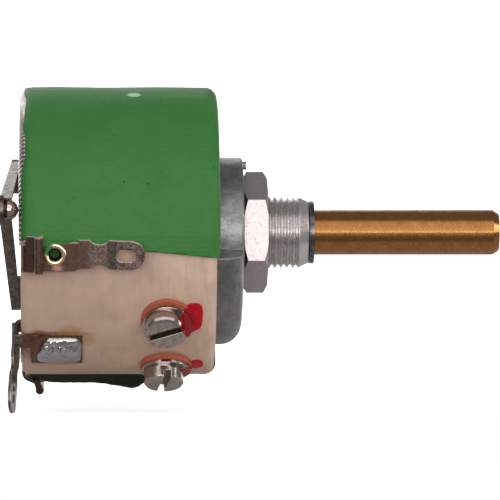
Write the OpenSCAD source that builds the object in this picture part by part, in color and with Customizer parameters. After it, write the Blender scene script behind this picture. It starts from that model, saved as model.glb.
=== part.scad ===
// Rotary wirewound potentiometer: an enamelled winding on a ceramic ring core,
// swept by an A-shaped contact spring on an insulated brass shaft.
// Millimetres, +Z up. The casting's panel face is X = 0, the shaft points along +X.

/* [Display] */
// Node to draw, or all of them

/* [Shaft and bushing] */
// Radius of the brass shaft
shaft_r = 3; // [2:0.05:3.5]
// Shaft end ahead of the panel face
shaft_reach = 34.3; // [20:0.1:60]
// Radius of the bushing over its thread crests
bushing_r = 4.7625; // [4.4:0.0125:6.4]
// Bushing length ahead of the panel face
bushing_len = 8.8; // [7:0.1:14]
// Pitch of the bushing thread
thread_pitch = 0.794; // [0.6:0.001:1]
// Nut size across flats
nut_flats = 14; // [13:0.5:17]
// Nut thickness
nut_h = 3.2; // [2:0.1:4]

/* [Ring core] */
// Outer radius of the ceramic ring
core_r = 18.9; // [17.5:0.1:26]
// Wall of the ceramic ring, outer radius less inner radius
core_wall = 3.9; // [3.4:0.1:4.6]
// Length of the ring along the shaft axis
core_len = 25.45; // [23:0.05:34]
// Ring's front face behind the panel face
core_front = 3.85; // [3.4:0.05:5]
// Rounding of the ring's edges
core_round = 1.1; // [0.6:0.05:1.5]
// Middle of the bare sector, in degrees above the line towards the viewer
gap_mid = -55; // [-60:0.5:-50]

/* [Winding] */
// Turns of resistance wire
turns = 129; // [60:1:132]
// Width of the wire on the core
wire_w = 0.46; // [0.2:0.01:0.47]
// Height of the wire on the core
wire_t = 0.25; // [0.15:0.01:0.3]
// Half of the sector without wire, in degrees
bare_half = 51; // [48:0.5:53]
// Thickness of the enamel over the wire
enamel_t = 0.13; // [0.1:0.01:0.25]
// Width of the strip left bare of enamel at the rear edge
track_strip = 0.45; // [0.2:0.05:1.2]

/* [Wiper] */
// Direction of the contact at rest, in degrees above the line towards the viewer
wiper_angle = 9.6; // [9.6:0.1:9.6]
// Thickness of the contact spring
spring_t = 0.4; // [0.3:0.05:0.5]
// Half width of the spring where its legs meet the cross plate
spring_half = 10.2; // [9:0.1:10.4]

/* [Terminals] */
// Thickness of the terminal sheet
sheet_t = 0.4; // [0.3:0.05:0.45]
// Width of the strap over the ring's rear edge
strap_w = 4.7; // [4:0.1:5.2]
// Width of a solder lug's head
lug_w = 3.75; // [3.2:0.05:4.2]
// Slot length in a solder lug
lug_slot = 2.55; // [2:0.05:3]

/* [Core screws] */
// Half of the angle between the two screws
screw_half = 14.5; // [13:0.5:16]
// Screws' distance behind the panel face
screw_depth = 10.6; // [9:0.1:11]
// Radius of a screw's thread
screw_r = 1.5; // [1.2:0.05:1.7]
// Radius of a screw's head
screw_head_r = 2.6; // [2.4:0.05:3]
// Height of a screw's head
screw_head_h = 1.9; // [1.6:0.05:2.4]

/* [Casting] */
// Radius of the round panel face
face_r = 9.95; // [9.4:0.05:11]
// Middle of the saddle and of the two screws, in degrees above the line towards the viewer
saddle_mid = -51.5; // [-56:0.5:-48]
// Half angle of the saddle that carries the ring
saddle_half = 38; // [34:0.5:40]
// Saddle length behind the panel face
saddle_len = 15.5; // [14:0.1:17]
// Rounding at the front of the saddle
saddle_round = 2.8; // [1:0.1:3.4]
// Radius of the bearing hub inside the ring
hub_r = 6.2; // [5.6:0.1:6.6]

/* [Hidden] */
$fn = 64;

running = 0.03;
slip = 0.02;
past = 1;
core_bore = core_r - core_wall;
core_rear = core_front + core_len;
track_r = core_bore + core_wall / 2;
track_depth = core_rear + slip + wire_t;
coat_in = 2 * slip + wire_t;
coat_out = coat_in + enamel_t;
coat_r = core_r + coat_out;
wound_from = gap_mid + bare_half;
wound_to = gap_mid + 360 - bare_half;
turn_step = (wound_to - wound_from) / turns;

screw_seat = core_r + slip;
washer_t = 0.45;
fibre_t = 0.7;
washer_r = screw_head_r + 0.65;
fibre_r = screw_head_r + 0.8;
washer_hole_r = screw_r + 0.55;
washer_off = 0.3;
washer_drop = 0.4;
head_seat = screw_seat + fibre_t + washer_t;
head_edge = 0.3;
slot_w = 0.95;
slot_deep = 1.1;
screw_play = 0.2;

web_len = core_front + 0.35;
saddle_r = core_bore - 0.06;
saddle_front = 0.15;
rim_round = 0.4;
rib_w = 2;
rib_phi = 27;
pip_r = 0.55;
pip_in = 1.05;
pip_h = 0.6;
boss_depth = 2.6;
hub_end = core_rear - 8.6;
spigot_r = hub_r - 1.6;

ring_t = 0.5;
ring_in = hub_r + 0.7;
ring_out = hub_r + 3.3;
laminate_r = ring_out + 0.5;
laminate_t = 0.8;
collector_seat = hub_end + laminate_t;
collector_top = collector_seat + ring_t;
hub_tip = collector_top + 0.6;
thrust_end = hub_tip + 1.6;
thrust_r = shaft_r + 1.3;
disc_front = thrust_end + 0.45;
disc_rear = core_rear - 1;
disc_r = core_bore - 3.8;
stop_r = core_bore - 1.8;
stop_half = 40;
stop_t = 2;
post_in = 12.6;
post_out = 20;
plate_top = disc_rear + spring_t;
shaft_tip_r = 1.65;
rivet_at = 6;
rivet_r = 0.8;
mouth = 0.65;
mouth_len = 1.35;
thread_deep = 0.45;

// Draws depth behind the panel as +Z, up as +Y and the viewer's side as +X
module behind_panel() rotate([90, 0, -90]) children();

// Turns to an angle about the shaft: X is radial, Y tangential, Z depth
module at_angle(phi, depth = 0) rotate([0, 0, phi]) translate([0, 0, depth]) children();

// Stands children outwards along a radius
module radial(phi, depth) at_angle(phi, depth) rotate([0, 90, 0]) children();

// Mirrors across the middle of the bare sector
module across_gap() rotate([0, 0, gap_mid]) mirror([0, 1, 0]) rotate([0, 0, -gap_mid]) children();

module tube(outer, inner, h) difference() {
    cylinder(h = h, r = outer);
    translate([0, 0, -1]) cylinder(h = h + 2, r = inner);
}

module rounded_box(size, r) {
    translate([r, 0]) square([size.x - 2 * r, size.y]);
    translate([0, r]) square([size.x, size.y - 2 * r]);
    for (x = [r, size.x - r], y = [r, size.y - r]) translate([x, y]) circle(r);
}

// The ring's section in radius and depth, grown on every side
module ring_section(grow, corner) translate([core_bore - grow, core_front - grow])
    rounded_box([core_wall + 2 * grow, core_len + 2 * grow], corner);

// Middle line of a bent sheet: each step is a straight run, then a bend of an angle and a radius
bend_step = 22.5;

function arc_points(p, a, turn, r) = let (
    n = max(1, ceil(abs(turn) / bend_step)), s = sign(turn), c = p + s * r * [-sin(a), cos(a)])
    [for (i = [1:n]) c + s * r * [sin(a + turn * i / n), -cos(a + turn * i / n)]];
function but_last(v) = [for (i = [0:1:len(v) - 2]) v[i]];
function walk(steps, p, a, i = 0) = i == len(steps) ? [p] : let (
    q = p + steps[i][0] * [cos(a), sin(a)],
    bend = arc_points(q, a, steps[i][1], steps[i][2]))
    concat(steps[i][0] > 0 ? [p, q] : [p], but_last(bend),
        walk(steps, bend[len(bend) - 1], a + steps[i][1], i + 1));

// Outline of the sheet, half its thickness on each side of the middle line
function unit(v) = v / norm(v);
function normal_at(v, i) = let (last = len(v) - 1,
    a = unit(v[min(i + 1, last)] - v[min(i, last - 1)]),
    b = unit(v[max(i, 1)] - v[max(i, 1) - 1]),
    m = unit([-a.y - b.y, a.x + b.x])) m / (m * [-a.y, a.x]);
function ribbon(v, t) = concat([for (i = [0:len(v) - 1]) v[i] + normal_at(v, i) * t / 2],
    [for (i = [len(v) - 1:-1:0]) v[i] - normal_at(v, i) * t / 2]);

// Sheet bent in the plane of radius and depth
module bent(line, t, w) rotate([90, 0, 0]) linear_extrude(w, center = true) polygon(ribbon(line, t));

// Cutter that runs outwards along the radius, drawn as tangent and depth
module plan_cut(r_from, r_to) translate([r_from, 0, 0]) rotate([90, 0, 90])
    linear_extrude(r_to - r_from) children();

module sector(from, to, r_in, r_out, d_from, d_to)
    rotate_extrude(angle = to - from, start = from)
        translate([r_in, d_from]) square([r_out - r_in, d_to - d_from]);

// Casting with its threaded bushing
thread_r = bushing_r - thread_deep;
thread_ridges = floor((bushing_len - mouth_len - 0.25) / thread_pitch);
thread_end = thread_ridges * thread_pitch;

function ridge(i) = let (z = i * thread_pitch) [
    [thread_r, z + thread_pitch * 0.1], [bushing_r, z + thread_pitch * 0.48],
    [bushing_r, z + thread_pitch * 0.62], [thread_r, z + thread_pitch]];

module bushing_profile() polygon(concat([[shaft_r - past, -past], [thread_r, -past]],
    [for (i = [0:thread_ridges - 1]) each ridge(i)],
    [[bushing_r, thread_end + thread_pitch * 0.35], [bushing_r, bushing_len - mouth_len],
     [bushing_r - mouth, bushing_len], [shaft_r - past, bushing_len]]));

module flange_profile() {
    square([face_r - rim_round, web_len]);
    translate([0, rim_round]) square([face_r, web_len - rim_round]);
    translate([face_r - rim_round, rim_round]) circle(rim_round);
}

module saddle_profile() {
    translate([face_r - rim_round, saddle_front + saddle_round])
        square([saddle_r - face_r + rim_round, saddle_len - saddle_front - saddle_round]);
    translate([hub_r - past, saddle_front])
        square([saddle_r - saddle_round - hub_r + past, web_len]);
    translate([saddle_r - saddle_round, saddle_front + saddle_round]) circle(saddle_round);
}

module casting() difference() {
    union() {
        mirror([0, 0, 1]) rotate_extrude() bushing_profile();
        rotate_extrude() flange_profile();
        cylinder(h = hub_end, r = hub_r);
        translate([0, 0, hub_end - past]) cylinder(h = hub_tip - hub_end + past, r = spigot_r);
        rotate_extrude(angle = 2 * saddle_half, start = saddle_mid - saddle_half) saddle_profile();
        for (side = [-1, 0, 1]) at_angle(saddle_mid + side * rib_phi)
            translate([hub_r - past, -rib_w / 2, web_len - past])
                cube([face_r - hub_r + past, rib_w, saddle_len - web_len]);
        for (side = [-1, 1]) stop_post(side);
        at_angle(90) translate([face_r - pip_in, 0, -pip_h])
            cylinder(h = 2 * pip_h, r = pip_r);
    }
    translate([0, 0, -bushing_len - past])
        cylinder(h = bushing_len + hub_tip + 2 * past, r = shaft_r + running);
    at_screws() translate([0, 0, face_r - boss_depth])
        cylinder(h = saddle_r - face_r + boss_depth + past, r = screw_r + slip);
}

module stop_post(side) {
    mid = saddle_mid + side * (post_in + post_out) / 2;
    half = (post_out - post_in) / 2;
    sector(mid - half, mid + half, disc_r + 0.6, stop_r + 0.3, saddle_len - past,
        disc_front + stop_t + 0.2);
}

// Hex nut with both faces chamfered
module nut() difference() {
    intersection() {
        cylinder(h = nut_h, r = nut_flats / sqrt(3), $fn = 6);
        nut_cone();
        translate([0, 0, nut_h]) mirror([0, 0, 1]) nut_cone();
    }
    translate([0, 0, -past]) cylinder(h = nut_h + 2 * past, r = bushing_r + 2 * slip);
    nut_mouth();
    translate([0, 0, nut_h]) mirror([0, 0, 1]) nut_mouth();
}

// Cone of 30 degrees that takes the nut's corners down to its washer face
module nut_cone() translate([0, 0, -slip]) cylinder(h = 2 * nut_h, r1 = nut_flats / 2 + 0.2,
    r2 = nut_flats / 2 + 0.2 + 2 * nut_h * tan(60));

module nut_mouth() translate([0, 0, -slip])
    cylinder(h = thread_deep + slip, r1 = bushing_r + thread_deep, r2 = bushing_r);

// Ceramic ring, notched at the rear for the wiper's terminal and grooved for the straps
notch_phi = -48.3;
notch_w = 2.5;
notch_deep = 1.5;
notch_round = 0.5;
groove = sheet_t + slip;
strap_rear_w = strap_w * 0.755;

module core() difference() {
    rotate_extrude() ring_section(0, core_round);
    at_angle(notch_phi) plan_cut(core_bore - past, core_r + past)
        translate([-notch_w / 2, core_rear - notch_deep])
            rounded_box([notch_w, notch_deep + past], notch_round);
    at_screws() translate([0, 0, core_bore - past])
        cylinder(h = core_wall + 2 * past, r = screw_r + screw_play);
    strap_seat();
    across_gap() strap_seat();
}

module strap_seat() {
    radial(strap_phi, eyelet_depth) translate([0, 0, core_bore - past])
        cylinder(h = core_wall + 2 * past, r = eyelet_r + 0.1);
    at_angle(strap_phi) translate([core_bore - past, -strap_w / 2 - slip, core_rear - groove])
        cube([core_wall + 2 * past, strap_rear_w + 2 * slip, groove + past]);
}

// One ribbon of wire wound round the section, turn after turn
cut = core_round * 0.586;
path = let (a = core_bore, b = core_r, f = core_front, g = core_rear) [
    [b, f + cut], [b, g - cut], [b - cut, g], [a + cut, g],
    [a, g - cut], [a, f + cut], [a + cut, f], [b - cut, f]];
lean = tan(22.5);
push = [[1, -lean], [1, lean], [lean, 1], [-lean, 1], [-1, lean], [-1, -lean], [-lean, -1], [lean, -1]];

function on_path(i, h, w) = let (
    k = i % 8, p = path[k] + push[k] * h, phi = wound_from + turn_step * i / 8)
    [p.x * cos(phi) - w * sin(phi), p.x * sin(phi) + w * cos(phi), p.y];

module winding() {
    last = turns * 8;
    corners = [[slip, -wire_w / 2], [slip, wire_w / 2],
        [slip + wire_t, wire_w / 2], [slip + wire_t, -wire_w / 2]];
    points = [for (i = [0:last]) for (c = corners) on_path(i, c[0], c[1])];
    sides = [for (i = [0:last - 1]) for (j = [0:3]) let (
        a = 4 * i + j, b = 4 * i + (j + 1) % 4) each [[a, a + 4, b], [b, a + 4, b + 4]]];
    polyhedron(points, concat(sides, [[0, 1, 2], [0, 2, 3],
        [4 * last + 2, 4 * last + 1, 4 * last], [4 * last + 3, 4 * last + 2, 4 * last]]));
}

// Enamel over the outside, the front and the bore, its ends brushed off at a slant
enamel_mid = wound_from - 2.6;
enamel_over = 8;
enamel_slant = 5.5;

module enamel() difference() {
    rotate_extrude(angle = wound_to - wound_from + 2 * enamel_over, start = wound_from - enamel_over)
        difference() {
            ring_section(coat_out, core_round + 0.1);
            polygon([for (k = [0:7]) path[k] + push[k] * coat_in]);
            translate([core_bore - 2, core_rear - track_strip])
                square([core_wall + 4, track_strip + coat_out + past]);
        }
    enamel_end();
    across_gap() enamel_end();
}

module enamel_end() at_angle(enamel_mid, core_front + core_len / 2) rotate([-enamel_slant, 0, 0])
    translate([core_bore - 3, -6, -core_len]) cube([core_wall + 6, 6, 2 * core_len]);

// Winding terminals: strap over the rear edge, pinched fold, eyelet and bowed solder lug
strap_phi = -8.5;
strap_gap = 0.18;
strap_line = coat_r + strap_gap + sheet_t / 2;
strap_out = strap_line + sheet_t / 2;
leg_half = strap_w / 2 + 0.15;
inner_line = sqrt(pow(core_bore - coat_out, 2) - leg_half * leg_half) - 0.05 - sheet_t / 2;
inner_in = inner_line - sheet_t / 2;
inner_from = core_rear - 6.2;
inner_bend = 0.7;
rear_line = core_rear - sheet_t / 2;
corner_bend = 1;
corner_from = core_r - 0.22;
corner_turn = 67;
fold_front = core_rear - 2.65;
fold_lean = 18;
fold_bend = 0.35;
fold_len = 0.7;
fold_back = 0.52;
fold_flare = 35;
flare_bend = 0.3;
bulb_bend = 0.36;
bow_from = core_rear - 10.58;
bow_turn = 22;
bow_bend = 2;
bow_len = 1.2;
crown_bend = 6;
tip_turn = 25;
tip_bend = 3.8;

fold_line = walk([[0, corner_turn - fold_lean, fold_bend], [fold_len, fold_flare, flare_bend],
    [0, -180 - 2 * fold_flare, bulb_bend], [0, fold_flare, flare_bend],
    [fold_back, 90 + fold_lean, fold_bend]], [0, 0], -corner_turn);
fold_end = fold_line[len(fold_line) - 1];
strap_path = concat(
    walk([[rear_line - inner_bend - inner_from, -90, inner_bend],
        [corner_from - inner_line - inner_bend, -corner_turn, corner_bend]], [inner_line, inner_from], 90),
    [for (p = but_last(fold_line)) p - fold_end + [strap_line, fold_front]],
    walk([[fold_front - bow_from, bow_turn, bow_bend], [bow_len, -bow_turn, crown_bend],
        [0, -tip_turn, tip_bend]], [strap_line, fold_front], -90));

strip_w = 3.76;
strip_off = -0.33;
strip_front = core_rear - 7.53;
strip_chamfer = 0.5;
strap_cut = 0.55;
strap_cut_from = core_rear - 0.8;
fold_plan = fold_front - 0.32;
lug_end = core_rear - 16.05;
neck_w = 2.55;
neck_r = 1.6;
neck_at = strip_front - 2.65;
hole_w = 1.7;
hole_at = lug_end + 2.45;

module oblong(length, w) {
    square([w, length - w], center = true);
    for (side = [-1, 1]) translate([0, side * (length - w) / 2]) circle(w / 2);
}

// Lug with its neck and slot, drawn as tangent and distance, its end at zero
module lug_plan(root, neck, hole) difference() {
    union() {
        translate([-lug_w / 2, lug_w / 2]) square([lug_w, root - lug_w / 2]);
        translate([0, lug_w / 2]) circle(lug_w / 2);
    }
    for (side = [-1, 1]) translate([side * (neck_w / 2 + neck_r), neck]) circle(neck_r);
    translate([0, hole]) oblong(lug_slot, hole_w);
}

module strap_plan() {
    low = strip_off - strip_w / 2;
    polygon([[-strap_w / 2, fold_plan], [strap_w / 2, fold_plan], [strap_w / 2, strap_cut_from],
        [strap_rear_w - strap_w / 2, strap_cut_from + strap_cut / 2],
        [strap_rear_w - strap_w / 2, core_rear + past], [-strap_w / 2, core_rear + past]]);
    polygon([[low, fold_plan + past], [low, strip_front + strip_chamfer],
        [low + strip_chamfer, strip_front], [low + strip_w, strip_front], [low + strip_w, fold_plan + past]]);
    translate([0, lug_end]) lug_plan(strip_front - lug_end + slip, neck_at - lug_end, hole_at - lug_end);
}

module start_terminal_shape() at_angle(strap_phi) difference() {
    intersection() {
        bent(strap_path, sheet_t, strap_w + past);
        plan_cut(inner_in - past, core_r + core_wall) strap_plan();
    }
    translate([0, 0, eyelet_depth]) rotate([0, 90, 0]) cylinder(h = 2 * core_r, r = eyelet_r + 0.04);
}

eyelet_depth = core_rear - 4.43;
eyelet_hole = 0.86;
eyelet_roll = 0.3;
eyelet_low = eyelet_roll * 0.6;
eyelet_r = eyelet_hole + eyelet_roll;

function lip(z, from, to) = [for (a = [from:-bend_step:to])
    [eyelet_r + eyelet_roll * cos(a), z + eyelet_low * sin(a)]];

module eyelet_shape() radial(strap_phi, eyelet_depth) rotate_extrude() polygon(concat(
    lip(strap_out + slip + eyelet_low, 180, -90), lip(inner_in - slip - eyelet_low, 90, -180)));

// Collector ring, its arm, the leg along the bore, the lug and the soldered pad are one stamping
wiper_phi = -57;
arm_w = 2.6;
arm_bend = 0.9;
seat_bend = 0.7;
leg_line = core_bore - 0.15 - sheet_t / 2;
arm_line = collector_seat + sheet_t / 2;
lug_line = core_rear + 0.5 + sheet_t / 2;
lug_root = core_r - 0.4;
lug_reach = core_r + 8.8;
lug_lean = 3.7;
lug_twist = 10;
lean_bend = 3;
pad_t = 0.3;
pad_from = -63.6;
pad_to = -45.6;
pad_front = core_rear - 8;
pad_rear = core_rear - 1.35;
tab_from = notch_phi - 3.6;
tab_to = notch_phi + 3.6;
tab_in = core_r - 2;

module wiper_terminal_shape() {
    translate([0, 0, collector_seat]) tube(ring_out, ring_in, ring_t);
    at_angle(wiper_phi) {
        bent(walk([[leg_line - arm_bend - ring_out + arm_bend, 90, arm_bend],
            [lug_line - arm_line - arm_bend - seat_bend, -90, seat_bend]],
            [ring_out - arm_bend, arm_line], 0), sheet_t, arm_w);
        translate([0, 0, lug_line]) rotate([lug_twist, 0, 0]) translate([0, 0, -lug_line]) intersection() {
            bent(walk([[lug_root - leg_line - seat_bend, lug_lean, lean_bend],
                [lug_reach - lug_root, lug_lean, lean_bend]],
                [leg_line + seat_bend - slip, lug_line], 0), sheet_t, lug_w + past);
            translate([lug_reach, 0, core_rear]) rotate([0, 0, 90]) linear_extrude(4 * past)
                lug_plan(lug_reach - leg_line - seat_bend + slip, 6.3, hole_at - lug_end);
        }
    }
    sector(wiper_phi - 3, tab_to, tab_in, core_r + slip + pad_t, lug_line - sheet_t / 2,
        lug_line + sheet_t / 2);
    sector(tab_from, tab_to, core_r + slip, core_r + slip + pad_t, pad_rear - past, lug_line);
    sector(pad_from, pad_to, core_r + slip, core_r + slip + pad_t, pad_front, pad_rear);
}

// Solder, a pillow crowned along the pad and across it
solder_h = 0.75;
solder_margin = 0.12;

module solder() {
    seat = core_r + slip + pad_t + slip;
    mid = (pad_front + pad_rear) / 2 - 0.3;
    half = (pad_rear - pad_front) / 2 - 0.45;
    crown = (half * half + solder_h * solder_h) / (2 * solder_h);
    side = (pad_to - pad_from) / 2 - 1.2;
    across = core_r * sin(side);
    drop = core_r * (1 - cos(side)) + solder_h;
    hoop = (across * across + drop * drop) / (2 * drop);
    difference() {
        intersection() {
            rotate_extrude(angle = 2 * side, start = (pad_from + pad_to) / 2 - side)
                intersection() {
                    translate([seat - past, mid - half]) square([solder_h + past, 2 * half]);
                    translate([seat + solder_h - crown, mid]) circle(crown, $fn = 96);
                }
            at_angle((pad_from + pad_to) / 2) translate([seat + solder_h - hoop, 0, mid - half - past])
                cylinder(h = 2 * half + 2 * past, r = hoop);
        }
        cylinder(h = core_rear + past, r = seat, $fn = 128);
    }
}

// Screws, metal washers and fibre washers
module at_screws() for (side = [-1, 1]) radial(saddle_mid + side * screw_half, screw_depth) children();

module screw(turn) difference() {
    union() {
        translate([0, 0, face_r + 0.4]) cylinder(h = head_seat - face_r - 0.4, r = screw_r);
        translate([0, 0, head_seat]) cylinder(h = screw_head_h - head_edge, r = screw_head_r);
        translate([0, 0, head_seat + screw_head_h - head_edge])
            cylinder(h = head_edge, r1 = screw_head_r, r2 = screw_head_r - head_edge * 0.8);
    }
    translate([0, 0, head_seat + screw_head_h]) rotate([0, 0, turn])
        cube([4 * screw_head_r, slot_w, 2 * slot_deep], center = true);
}

module screws() {
    radial(saddle_mid + screw_half, screw_depth) screw(20);
    radial(saddle_mid - screw_half, screw_depth) screw(80);
}

// Washers lie a little off the screws' middle, as their holes allow
module washer(seat, r, t, drop = 0) translate([washer_off, -drop, seat])
    tube(r, washer_hole_r, t - slip);

// Rotor on the shaft's stepped rear end
shaft_chamfer = 0.8;
shaft_end_r = shaft_r - 0.5;
rivet_head_r = 2.4;
rivet_head_h = 0.5;
clip_r = 4.17;
clip_t = 0.64;
clip_gap = 3;
clip_deep = 0.4;
clip_play = 0.08;

module shaft_shape() difference() {
    union() {
        translate([0, 0, -shaft_reach]) cylinder(h = shaft_chamfer, r1 = shaft_end_r, r2 = shaft_r);
        translate([0, 0, shaft_chamfer - shaft_reach])
            cylinder(h = shaft_reach - shaft_chamfer + thrust_end, r = shaft_r);
        cylinder(h = plate_top + 0.1, r = shaft_tip_r);
        translate([0, 0, plate_top + slip])
            cylinder(h = rivet_head_h, r1 = rivet_head_r, r2 = rivet_head_r - 0.3);
    }
    translate([0, 0, -bushing_len - clip_play - clip_t - 2 * slip])
        tube(shaft_r + past, shaft_r - clip_deep, clip_t + 2 * slip);
}

module clip() translate([0, 0, -bushing_len - clip_play - clip_t - slip]) difference() {
    tube(clip_r, shaft_r - clip_deep + slip, clip_t);
    rotate([0, 0, 200]) translate([0, -clip_gap / 2, -past]) cube([2 * clip_r, clip_gap, clip_t + 2 * past]);
}

module rivet_holes() for (side = [-1, 1]) translate([0, side * rivet_at, 0])
    cylinder(h = core_rear, r = rivet_r + slip);

module disc() difference() {
    union() {
        translate([0, 0, disc_front]) cylinder(h = disc_rear - disc_front, r = disc_r);
        sector(-stop_half, stop_half, disc_r - past, stop_r, disc_front, disc_front + stop_t);
    }
    cylinder(h = core_rear, r = shaft_tip_r + slip);
    rivet_holes();
}

// Contact spring: cross plate on the disc, two risers, two flanged legs meeting at the contact
spring_back = -2.1;
leg_base = core_rear + 1;
leg_apex = core_rear + 2.3;
apex_half = 1.4;
apex_r = 2;
plate_w = 6.2;
riser_w = 4.6;
leg_w = 2.4;
tip_w = 1.9;
flange_base = 0.85;
flange_tip = 1.15;
leg_head = [track_r + 1, apex_half];
leg_root = [spring_back, spring_half];
leg_run = norm(leg_head - leg_root);
leg_heading = atan2(leg_head.y - leg_root.y, leg_head.x - leg_root.x);
leg_climb = atan2(leg_apex - leg_base, leg_run);
leg_len = leg_run / cos(leg_climb);

module spring_leg() {
    translate([leg_root.x, leg_root.y, leg_base]) rotate([0, 0, leg_heading]) rotate([0, -leg_climb, 0]) {
        linear_extrude(spring_t) polygon([[0, 0], [leg_len, 0], [leg_len, -tip_w], [0, -leg_w]]);
        rotate([90, 0, 0]) linear_extrude(spring_t) polygon([[0, spring_t / 2], [leg_len, spring_t / 2],
            [leg_len, -flange_tip], [leg_len * 0.9, -flange_tip], [0, -flange_base]]);
    }
    translate([spring_back, spring_half - riser_w, disc_rear])
        cube([spring_t, riser_w, leg_base + spring_t - disc_rear]);
}

module spring() difference() {
    union() {
        spring_leg();
        mirror([0, 1, 0]) spring_leg();
        translate([track_r, 0, leg_apex - 0.1]) cylinder(h = spring_t + 0.1, r = apex_r);
        translate([spring_back, -spring_half, disc_rear]) cube([plate_w, 2 * spring_half, spring_t]);
    }
    cylinder(h = plate_top + 0.1, r = shaft_tip_r + slip);
    for (side = [-1, 1]) translate([0, side * rivet_at, 0]) cylinder(h = plate_top + 0.1, r = rivet_r + slip);
    translate([track_r, 0, core_rear]) cylinder(h = 5, r = pin_r + slip);
    translate([track_r, 0, core_rear]) cylinder(h = leg_apex - relief_top - core_rear, r = ball_r + slip);
}

relief_top = 0.2;
ball_r = 1.42;
pin_r = 0.5;
tail_r = 0.68;
tail_h = 0.4;

module contact() translate([track_r, 0, track_depth + slip]) {
    top = leg_apex - 0.1 - slip - track_depth - slip;
    intersection() {
        translate([0, 0, ball_r]) sphere(ball_r);
        cylinder(h = ball_r, r = ball_r + past);
    }
    translate([0, 0, ball_r - slip]) cylinder(h = top - ball_r + slip, r1 = ball_r, r2 = ball_r - 0.25);
    translate([0, 0, ball_r]) cylinder(h = top - ball_r + 0.1 + spring_t + 0.2, r = pin_r);
    translate([0, 0, top + 0.1 + spring_t + 2 * slip]) cylinder(h = tail_h, r1 = tail_r, r2 = tail_r - 0.2);
}

// Brush from the shaft to the collector ring: two arms that reach past the thrust washer
brush_t = 0.4;
brush_w = 4.8;
brush_half = rivet_at + 1.2;
brush_arm_w = 2.8;
brush_tip = (ring_in + ring_out) / 2;
brush_dip = 42;
brush_bend = 0.5;
dimple_r = 0.55;
brush_line = thrust_end + brush_t / 2;
brush_low = collector_top + 0.55;
brush_run = (brush_line - brush_low - 2 * brush_bend * (1 - cos(brush_dip))) / sin(brush_dip);

module brush() difference() {
    union() {
        translate([-brush_w / 2, -brush_half, thrust_end]) cube([brush_w, 2 * brush_half, brush_t]);
        for (side = [0, 180]) rotate([0, 0, side]) {
            bent(walk([[thrust_r - brush_w / 2 + 0.7, -brush_dip, brush_bend],
                [brush_run, brush_dip, brush_bend], [0.8, brush_dip / 2, brush_bend]],
                [brush_w / 2 - 0.4, brush_line], 0), brush_t, brush_arm_w);
            translate([brush_tip, 0, collector_top + slip])
                cylinder(h = brush_low - collector_top - slip, r1 = dimple_r / 2, r2 = dimple_r);
        }
    }
    cylinder(h = core_rear, r = shaft_tip_r + slip);
    rivet_holes();
}

rivet_rim = 1.4;
rivet_edge = 0.3;

module rivets() for (side = [-1, 1]) translate([0, side * rivet_at, 0]) {
    translate([0, 0, thrust_end - slip - 0.35])
        cylinder(h = 0.35, r1 = rivet_rim - rivet_edge, r2 = rivet_rim);
    translate([0, 0, thrust_end - 0.1]) cylinder(h = plate_top - thrust_end + 0.2, r = rivet_r);
    translate([0, 0, plate_top + slip]) cylinder(h = 0.35, r1 = rivet_rim, r2 = rivet_rim - rivet_edge);
}

// Nodes
module mounting_housing() color([0.45, 0.45, 0.44]) behind_panel() casting();
module mounting_nut() color([0.72, 0.69, 0.68]) behind_panel() translate([0, 0, -nut_h - 0.1])
    rotate([0, 0, 32]) nut();
module ceramic_core() color([0.78, 0.68, 0.6]) behind_panel() core();
module resistance_winding() color([0.62, 0.57, 0.53]) behind_panel() winding();
module enamel_coating() color([0.27, 0.48, 0.28]) behind_panel() enamel();
module start_terminal() color([0.24, 0.18, 0.15]) behind_panel() start_terminal_shape();
module start_eyelet() color([0.72, 0.54, 0.34]) behind_panel() eyelet_shape();
module end_terminal() color([0.24, 0.18, 0.15]) behind_panel() across_gap() start_terminal_shape();
module end_eyelet() color([0.72, 0.54, 0.34]) behind_panel() across_gap() eyelet_shape();
module wiper_terminal() color([0.42, 0.36, 0.32]) behind_panel() wiper_terminal_shape();
module terminal_solder() color([0.6, 0.6, 0.6]) behind_panel() solder();
module core_screws() color([0.72, 0.68, 0.64]) behind_panel() screws();
module core_screw_washers() color([0.62, 0.58, 0.54]) behind_panel() {
    radial(saddle_mid + screw_half, screw_depth) washer(screw_seat + fibre_t, washer_r, washer_t, washer_drop);
    radial(saddle_mid - screw_half, screw_depth) washer(screw_seat + fibre_t, washer_r, washer_t);
}
module fibre_washers() color([0.63, 0.33, 0.26]) behind_panel() at_screws() washer(screw_seat, fibre_r, fibre_t);
module collector_insulator() color([0.35, 0.22, 0.14]) behind_panel()
    translate([0, 0, hub_end + slip]) {
        tube(laminate_r, spigot_r + slip, laminate_t - 2 * slip);
        tube(ring_in - 0.2, spigot_r + slip, laminate_t + ring_t - slip);
    }
module shaft() color([0.72, 0.52, 0.33]) behind_panel() shaft_shape();
module retaining_ring() color([0.3, 0.29, 0.28]) behind_panel() clip();
module thrust_washer() color([0.7, 0.55, 0.36]) behind_panel()
    translate([0, 0, hub_tip + 0.1]) tube(thrust_r, shaft_r + slip, thrust_end - hub_tip - 0.1 - slip);
module rotor_disc() color([0.8, 0.76, 0.7]) behind_panel() at_angle(wiper_angle) disc();
module wiper_spring() color([0.33, 0.29, 0.25]) behind_panel() at_angle(wiper_angle) spring();
module wiper_contact() color([0.72, 0.66, 0.62]) behind_panel() at_angle(wiper_angle) contact();
module collector_brush() color([0.5, 0.38, 0.26]) behind_panel() at_angle(wiper_angle) brush();
module brush_rivets() color([0.68, 0.52, 0.34]) behind_panel() at_angle(wiper_angle) rivets();

mounting_housing();
mounting_nut();
ceramic_core();
resistance_winding();
enamel_coating();
start_terminal();
start_eyelet();
end_terminal();
end_eyelet();
wiper_terminal();
terminal_solder();
core_screws();
core_screw_washers();
fibre_washers();
collector_insulator();
shaft();
retaining_ring();
thrust_washer();
rotor_disc();
wiper_spring();
wiper_contact();
collector_brush();
brush_rivets();
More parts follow.
